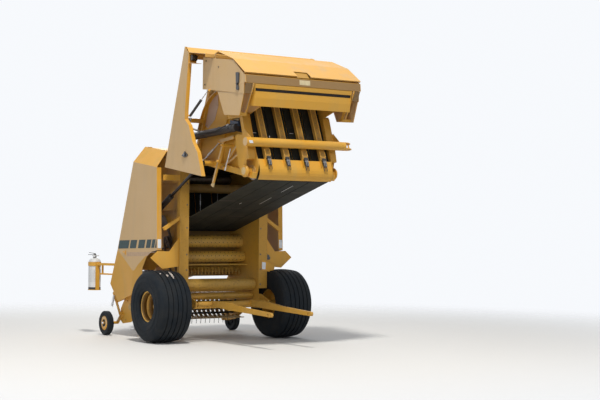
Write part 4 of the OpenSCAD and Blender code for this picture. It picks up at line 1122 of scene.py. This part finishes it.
def drum_details():
    """Rows of holes in the upper drums, shown as dark discs of painted shade, and bars welded along the lower
    ones.
    """
    with piece("drum_rivets", "slot_dark", "frame") as bm:
        for (x, z), r, rows in ((DRUMS[0], 0.092, 10), (DRUMS[1], 0.085, 9)):
            for k in range(rows):
                t = 2 * math.pi * k / rows + 0.2
                for y in (-0.544 + 0.068 * i + (0.034 if k % 2 else 0) for i in range(17)):
                    if abs(y) < 0.575:
                        add_rod(bm, polar(at(x, y, z), r - 0.001, t), polar(at(x, y, z), r + 0.0012, t),
                            0.007, 8)
    half_w = Vector((0, 0.572, 0))
    with piece("drum_bars", "drum", "frame") as bm:
        for (x, z), r in ((DRUMS[2], 0.085), ((0.15, 0.63), 0.048)):
            for k in range(6):
                t = 2 * math.pi * k / 6 + 0.3
                p = polar(at(x, 0, z), r + 0.0012, t)
                add_block(bm, p - half_w, p + half_w, 0.008, 0.004, polar(Vector(), 1, t), 0.001)


def extinguisher():
    """Base, collar, valve, lever, gauge, label and the short hose of the extinguisher."""
    foot = at(1.95, 1.12, 0)
    with piece("extinguisher_valve", "black", "frame") as bm:
        add_lathe(bm, foot + UP * 0.6712, UP,
            [(0, 0.0915), (0.002, 0.0935), (0.034, 0.0935), (0.036, 0.0925)], 48)
        add_lathe(bm, foot + UP * 1.15, UP,
            [(0, 0.027), (0.014, 0.027), (0.016, 0.022), (0.052, 0.022), (0.054, 0.017), (0.066, 0.017)], 24)
        grip = [(-0.012, -0.013), (0.115, 0.04), (0.105, 0.064), (-0.022, 0.013)]
        lever = [(-0.012, -0.012), (0.1, 0.035), (0.09, 0.057), (-0.022, 0.012)]
        add_prism(bm, [foot + Vector((x, y, 1.196)) for x, y in grip], UP * 0.007, 0.002)
        add_prism(bm, [foot + Vector((x, y, 1.214 + 0.16 * max(x, 0))) for x, y in lever], UP * 0.005, 0.0015)
    hose("extinguisher_hose", [foot + Vector(p) for p in (
        (0.018, -0.014, 1.172), (0.06, -0.05, 1.19), (0.105, -0.066, 1.12), (0.11, -0.07, 0.96),
        (0.108, -0.068, 0.82), (0.104, -0.066, 0.76))], 0.008, "frame")
    with piece("extinguisher_label", "hose_white", "frame") as bm:
        add_lathe(bm, foot + Vector((-0.02, 0.016, 1.18)), Vector((-0.8, 0.6, 0)),
            [(0, 0.006), (0.006, 0.006), (0.007, 0.019), (0.016, 0.019), (0.017, 0.016)], 24)
        add_lathe(bm, foot + UP * 0.79, UP, [(0, 0.0924), (0.001, 0.0932), (0.199, 0.0932), (0.2, 0.0924)],
            60)


def right_guard():
    """The hanging plate of the right guard, its reflector and the dark catch above it."""
    parts = (
        # Name, finish, place, thickness, bevel and outline (y, z)
        ("guard_plate", "gold", -0.0395, 0.005, 0.0015,
         ((-0.634, 1.15), (-0.681, 1.15), (-0.872, 1.083), (-0.844, 0.97), (-0.635, 1.005))),
        ("guard_reflector", "reflector", -0.0447, 0.004, 0.001,
         ((-0.642, 1.128), (-0.706, 1.118), (-0.7, 1.018), (-0.642, 1.024))),
        ("guard_catch", "lamp", -0.0124, 0.016, 0.004,
         ((-0.738, 1.24), (-0.775, 1.232), (-0.8, 1.19), (-0.786, 1.16), (-0.738, 1.16))))
    for name, mat, x, thick, bevel, pts in parts:
        with piece(name, mat, "frame") as bm:
            add_prism(bm, [at(x, y, z) for y, z in pts], FORWARD * -thick, bevel)


def arm_frame():
    """The posts and the lower bar under the extinguisher's arm."""
    left, top_z, low_z = Vector((0, 1, 0)), 1.041, 0.905
    posts = ((1.515, 0.99), (1.79, 1.062))
    with piece("arm_frame", "facet", "frame") as bm:
        for x, y in posts:
            add_block(bm, at(x, y, top_z), at(x, y, low_z), 0.024, 0.024, left)
        add_block(bm, at(1.5, 0.986, 0.912), at(1.838, 1.076, 0.912), 0.024, 0.024, left)
        for x, y in posts:
            add_bolt(bm, at(x, y + 0.012, 0.912), left, 0.009)


def gauge_wheel(s, side, d):
    """The adjuster of a gauge wheel, its spring, and the wheel's pin and disc."""
    arm_y, hub_x, hub_z = s * 0.9345, 1.56, 0.184
    with piece("gauge_adjuster_" + side, "facet", "pickup") as bm:
        add_block(bm, at(1.42, arm_y, 0.3), at(1.668, arm_y, 0.64), 0.016, 0.046,
            d.cross(Vector((0.59, 0, 0.81))))
        add_block(bm, at(1.3, s * 0.9145, 0.57), at(1.56, s * 0.9145, 0.505), 0.016, 0.036,
            d.cross(Vector((0.97, 0, -0.24))))
        for k in range(6):
            c = at(1.455 + 0.036 * k, s * 0.9426, 0.348 + 0.0494 * k)
            add_rod(bm, c, c + d * 0.003, 0.01, 14, 0.001)
        for x, z in ((1.33, 0.562), (1.44, 0.327), (1.58, 0.52)):
            add_bolt(bm, at(x, s * 0.943, z), d, 0.011, 0.01)
    coil_r, turn, rise = 0.016, 0.55, 0.0012
    c, u = at(1.6, s * 0.957, 0.585), Vector((0.4, 0, -0.92))
    a, b = frame_of(u)
    with piece("gauge_spring_" + side, "zinc", "pickup", True) as bm:
        add_tube(bm, [c + u * rise * k + coil_r * (a * math.cos(k * turn) + b * math.sin(k * turn))
            for k in range(150)], 0.0035, 6)
    with piece("gauge_pin_" + side, "zinc", "pickup", True) as bm:
        add_lathe(bm, at(hub_x, s * 1.1525, hub_z), d,
            [(0, 0.019), (0.01, 0.019), (0.012, 0.012), (0.02, 0.012), (0.021, 0)], 20)
    with piece("gauge_disc_" + side, "gold", "gauge_" + side, True) as bm:
        add_lathe(bm, at(hub_x, s * 1.1302, hub_z), d, [(0, 0.068), (0, 0.104), (0.003, 0.106),
            (0.006, 0.104), (0.012, 0.068), (0.012, 0.0565), (0.01, 0.0555), (0, 0.0555)], 40, True)


chain_links()
drum_details()
extinguisher()
right_guard()
arm_frame()
for s, side in SIDES:
    gauge_wheel(s, side, Vector((0, s, 0)))


def frame_fittings():
    """Hooks that hang in front of the front belts, and bolts along the posts and the sheets."""
    hook_x = 0.56
    with piece("belt_hooks", "zinc", "frame") as bm:
        for y, z0, z1 in ((0.07, 1.968, 2.024), (-0.224, 1.981, 2.03)):
            add_block(bm, at(hook_x, y, z0), at(hook_x, y, z1), 0.012, 0.004, FORWARD, 0.001)
            add_rod(bm, at(hook_x, y, z0 - 0.12), at(hook_x, y, z0 + 0.004), 0.0035, 8)
            add_rod(bm, at(hook_x, y, z1 - 0.006), at(hook_x, y, z1 + 0.23), 0.0035, 8)
    with piece("frame_bolts", "bolt", "frame") as bm:
        for s, _ in SIDES:
            for z in (0.8, 1.02, 1.24, 1.62, 1.95, 2.25, 2.44):
                add_bolt(bm, at(-0.0352, s * 0.62, z), -FORWARD, 0.009, 0.006)
            add_bolts(bm, at, s * (OUT + 0.0002), Vector((0, s, 0)), ((0.1, 1.0), (0.1, 1.55), (0.1, 2.1),
                (0.9, 1.2), (0.9, 1.7), (0.86, 2.2), (0.45, 2.62), (0.7, 2.66), (0.45, 0.62)))


def driveline():
    """Guards on the driveline, and the bolts and covers of the gearbox."""
    front_x, mid_z = 1.0802, 1.33
    start, end = at(1.08, 0, mid_z), at(2.46, 0, 0.895)
    along = (end - start).normalized()
    with piece("driveline_guards", "hose", "frame", True) as bm:
        add_lathe(bm, start + along * 0.1, along, [(0, 0.078), (0.012, 0.08), (0.02, 0.076), (0.03, 0.078),
            (0.038, 0.07), (0.048, 0.072), (0.056, 0.062), (0.09, 0.05), (0.13, 0.0405), (0.13, 0.0445),
            (0, 0.0445)], 40, True)
        add_lathe(bm, start + along * 0.72, along,
            [(0, 0.0405), (0.002, 0.046), (0.02, 0.046), (0.022, 0.034)], 40)
        add_lathe(bm, end - along * 0.19, along, [(0, 0.033), (0.03, 0.042), (0.07, 0.052), (0.078, 0.056),
            (0.086, 0.053), (0.094, 0.056), (0.1, 0.054), (0.1, 0.034)], 40)
    with piece("gearbox_bolts", "steel", "frame") as bm:
        for y in (-0.095, 0.095):
            for z in (-0.095, 0.0, 0.095):
                add_bolt(bm, at(front_x, y, mid_z + z), FORWARD, 0.01)
        add_lathe(bm, at(front_x, 0, mid_z), FORWARD,
            [(0, 0.082), (0.012, 0.082), (0.016, 0.074), (0.022, 0.06)], 40)
        for s, _ in SIDES:
            for k in range(6):
                add_bolt(bm, polar(at(0.98, s * 0.1702, mid_z), 0.044, math.pi * k / 3), Vector((0, s, 0)),
                    0.0065, 0.006)
        add_lathe(bm, at(1.03, 0.06, 1.4502), UP,
            [(0, 0.016), (0.012, 0.016), (0.014, 0.01), (0.026, 0.012), (0.03, 0.006)], 16)


def drawbar():
    """Hoses along the drawbar, their clamps, and the bolts of the hitch and of the arms."""
    route = ((2.52, 0.02, 0.6, 0.86, -0.02), (2.4, 0.056, 0.5, 0.815, 0.004), (2.19, 0.094, 1, 0.802, 0),
        (1.95, 0.155, 1, 0.87, 0), (1.5, 0.293, 1, 1.021, 0), (1.12, 0.405, 1, 1.15, 0),
        (0.97, 0.44, 1, 1.242, 0))
    for k in range(4):
        pts = [at(x, y + 0.022 * k * apart, z + rise * k) for x, y, apart, z, rise in route]
        hose("drawbar_hose_%d" % k, pts, 0.009, "frame")
    with piece("hose_clamps", "black", "frame") as bm:
        corners = ((0, -0.022, 0.004), (0.02, -0.022, -0.003), (0.02, 0.1, -0.003), (0, 0.1, 0.004))
        for c in (at(1.25, 0.366, 1.1035), at(1.72, 0.226, 0.946)):
            add_prism(bm, [c + Vector(p) for p in corners], Vector((0.012, 0, 0.03)), 0.002)
    with piece("drawbar_bolts", "bolt", "frame") as bm:
        for s, _ in SIDES:
            d = Vector((0, s, 0))
            for x, z in ((2.47, 0.72), (2.55, 0.72), (2.47, 0.64), (2.55, 0.64), (2.55, 0.52)):
                add_bolt(bm, at(x, s * 0.0702, z), d, 0.013, 0.01)
            for x in (2.615, 2.645):
                for z in (0.416, 0.486):
                    add_bolt(bm, at(x, s * 0.0602, z), d, 0.008, 0.007)
            # At the feet of the drawbar's arms
            for k in range(3):
                add_bolt(bm, at(0.985 + 0.055 * k, s * (0.5105 - 0.019 * k), 1.12 - 0.017 * k),
                    Vector((0.33, s * 0.94, 0)), 0.011)


def jack_fittings():
    """The cap, the crank's knob and the bolts of the jack."""
    x, y = 2.35, 0.2
    with piece("jack_fittings", "hose", "jack", True) as bm:
        add_lathe(bm, at(x, y, 0.9002), UP, [(0, 0.042), (0.01, 0.042), (0.016, 0.036), (0.018, 0.0142)], 28)
        add_lathe(bm, at(x, y + 0.15, 1.0102), UP,
            [(0, 0.012), (0.001, 0.016), (0.03, 0.019), (0.05, 0.017), (0.058, 0.008), (0.06, 0)], 20)
        for k in range(4):
            add_bolt(bm, at(x + 0.0355, y + 0.02 * (1 if k % 2 else -1), 0.42 + 0.14 * k), FORWARD, 0.008)


def front_cover():
    """Bolts along the edges of the front cover, and its two handles."""
    (x0, z0), (x1, z1) = (1.0225, 2.33), (1.183, 1.56)
    out = Vector((z0 - z1, 0, x1 - x0)).normalized()

    def on_cover(t, y):
        return at(x0 + t * (x1 - x0), y, z0 + t * (z1 - z0))

    with piece("cover_bolts", "bolt", "frame") as bm:
        for y in (-0.8, -0.4, 0.0, 0.4, 0.8):
            for t in (0.04, 0.96):
                add_bolt(bm, on_cover(t, y) + out * 0.0045, out, 0.009)
    bow = ((-0.08, 0.004), (-0.08, 0.036), (-0.072, 0.046), (0.072, 0.046), (0.08, 0.036), (0.08, 0.004))
    with piece("cover_handles", "steel", "frame", True) as bm:
        for y in (-0.45, 0.45):
            add_tube(bm, [on_cover(0.8, y + e) + out * h for e, h in bow], 0.008, 12)
            for e in (-0.08, 0.08):
                p = on_cover(0.8, y + e)
                add_rod(bm, p + out * 0.003, p + out * 0.008, 0.018, 20, 0.001)


def pickup_details():
    """Rivets of the pickup's bands, and the bearings and bolts on its ends."""
    mid_x, mid_z, bands, width = 1.13, 0.44, 22, 1.74
    with piece("band_rivets", "bolt", "pickup") as bm:
        for y in (width * ((i + 0.5) / bands - 0.5) for i in range(bands)):
            for t in (0.62, -1.2):
                c = at(mid_x, y, mid_z)
                add_rod(bm, polar(c, 0.2052, t), polar(c, 0.209, t), 0.008, 8, 0.001)
    with piece("pickup_bearings", "worn", "pickup") as bm:
        for s, _ in SIDES:
            d = Vector((0, s, 0))
            add_lathe(bm, at(mid_x, s * 0.9064, mid_z), d,
                [(0, 0.06), (0.006, 0.06), (0.01, 0.048), (0.022, 0.044), (0.026, 0.03), (0.027, 0)])
            for k in range(6):
                add_bolt(bm, polar(at(mid_x, s * 0.9124, mid_z), 0.053, math.pi * k / 3), d, 0.006, 0.005,
                    False)
            add_bolts(bm, at, s * 0.9062, d,
                ((0.64, 0.7), (0.76, 0.64), (0.9, 0.6), (1.25, 0.52), (1.4, 0.3), (1.3, 0.24)))


for build in (frame_fittings, driveline, drawbar, jack_fittings, front_cover, pickup_details):
    build()


# Floor, sky and lamps
def floor():
    """A pale floor that fades into the background far from the machine."""
    m, nt, b = new_mat("floor")
    b.inputs["Base Color"].default_value = (0.8, 0.79, 0.77, 1)
    b.inputs["Roughness"].default_value = 0.9
    away = nt.nodes.new("ShaderNodeVectorMath")
    away.operation = "LENGTH"
    nt.links.new(nt.nodes.new("ShaderNodeTexCoord").outputs["Object"], away.inputs[0])
    fade = nt.nodes.new("ShaderNodeMixShader")
    nt.links.new(curve(nt, away.outputs["Value"], 4.0, 11.0), fade.inputs["Fac"])
    nt.links.new(b.outputs[0], fade.inputs[1])
    nt.links.new(nt.nodes.new("ShaderNodeBsdfTransparent").outputs[0], fade.inputs[2])
    nt.links.new(fade.outputs[0], nt.nodes["Material Output"].inputs["Surface"])
    bpy.ops.mesh.primitive_plane_add(size=160, location=(0, 0, 0))
    plane = bpy.context.object
    plane.name = "floor"
    plane.data.materials.append(m)


def sky(light, lit, seen_col):
    """A dim world that lights the object, and a pale one that the camera, gloss and glass see."""
    world = bpy.data.worlds.new("world")
    bpy.context.scene.world = world
    world.use_nodes = True
    wt = world.node_tree
    dim = wt.nodes["Background"]
    dim.inputs["Color"].default_value = (*light, 1)
    dim.inputs["Strength"].default_value = lit
    pale = wt.nodes.new("ShaderNodeBackground")
    pale.inputs["Color"].default_value = (*seen_col, 1)
    pale.inputs["Strength"].default_value = 1.0
    ray = wt.nodes.new("ShaderNodeLightPath").outputs
    mirrored = math_node(wt, "ADD", ray["Is Glossy Ray"], ray["Is Transmission Ray"])
    seen = math_node(wt, "MINIMUM", math_node(wt, "ADD", ray["Is Camera Ray"], mirrored), 1.0)
    ms = wt.nodes.new("ShaderNodeMixShader")
    wt.links.new(seen, ms.inputs["Fac"])
    wt.links.new(dim.outputs[0], ms.inputs[1])
    wt.links.new(pale.outputs[0], ms.inputs[2])
    wt.links.new(ms.outputs[0], wt.nodes["World Output"].inputs["Surface"])


def lamp(name, loc, size, power, col=(1, 1, 1)):
    """A square lamp that looks at the middle of the machine."""
    d = bpy.data.lights.new(name, "AREA")
    d.size = size
    d.energy = power
    d.color = col
    o = bpy.data.objects.new(name, d)
    o.location = loc
    o.rotation_euler = (Vector((0, 0, 1.5)) - Vector(loc)).to_track_quat("-Z", "Y").to_euler()
    bpy.context.collection.objects.link(o)


floor()
sky((0.9, 0.94, 1.0), 0.36, (0.93, 0.95, 0.98))
lamp("key", (-7, 3.5, 14), 1.4, 1650, (1, 0.97, 0.91))
lamp("fill", (-9, 10, 5), 7, 230, (0.95, 0.97, 1))
lamp("front", (10, -4, 6), 6, 300)
bpy.context.scene.view_settings.view_transform = "Standard"
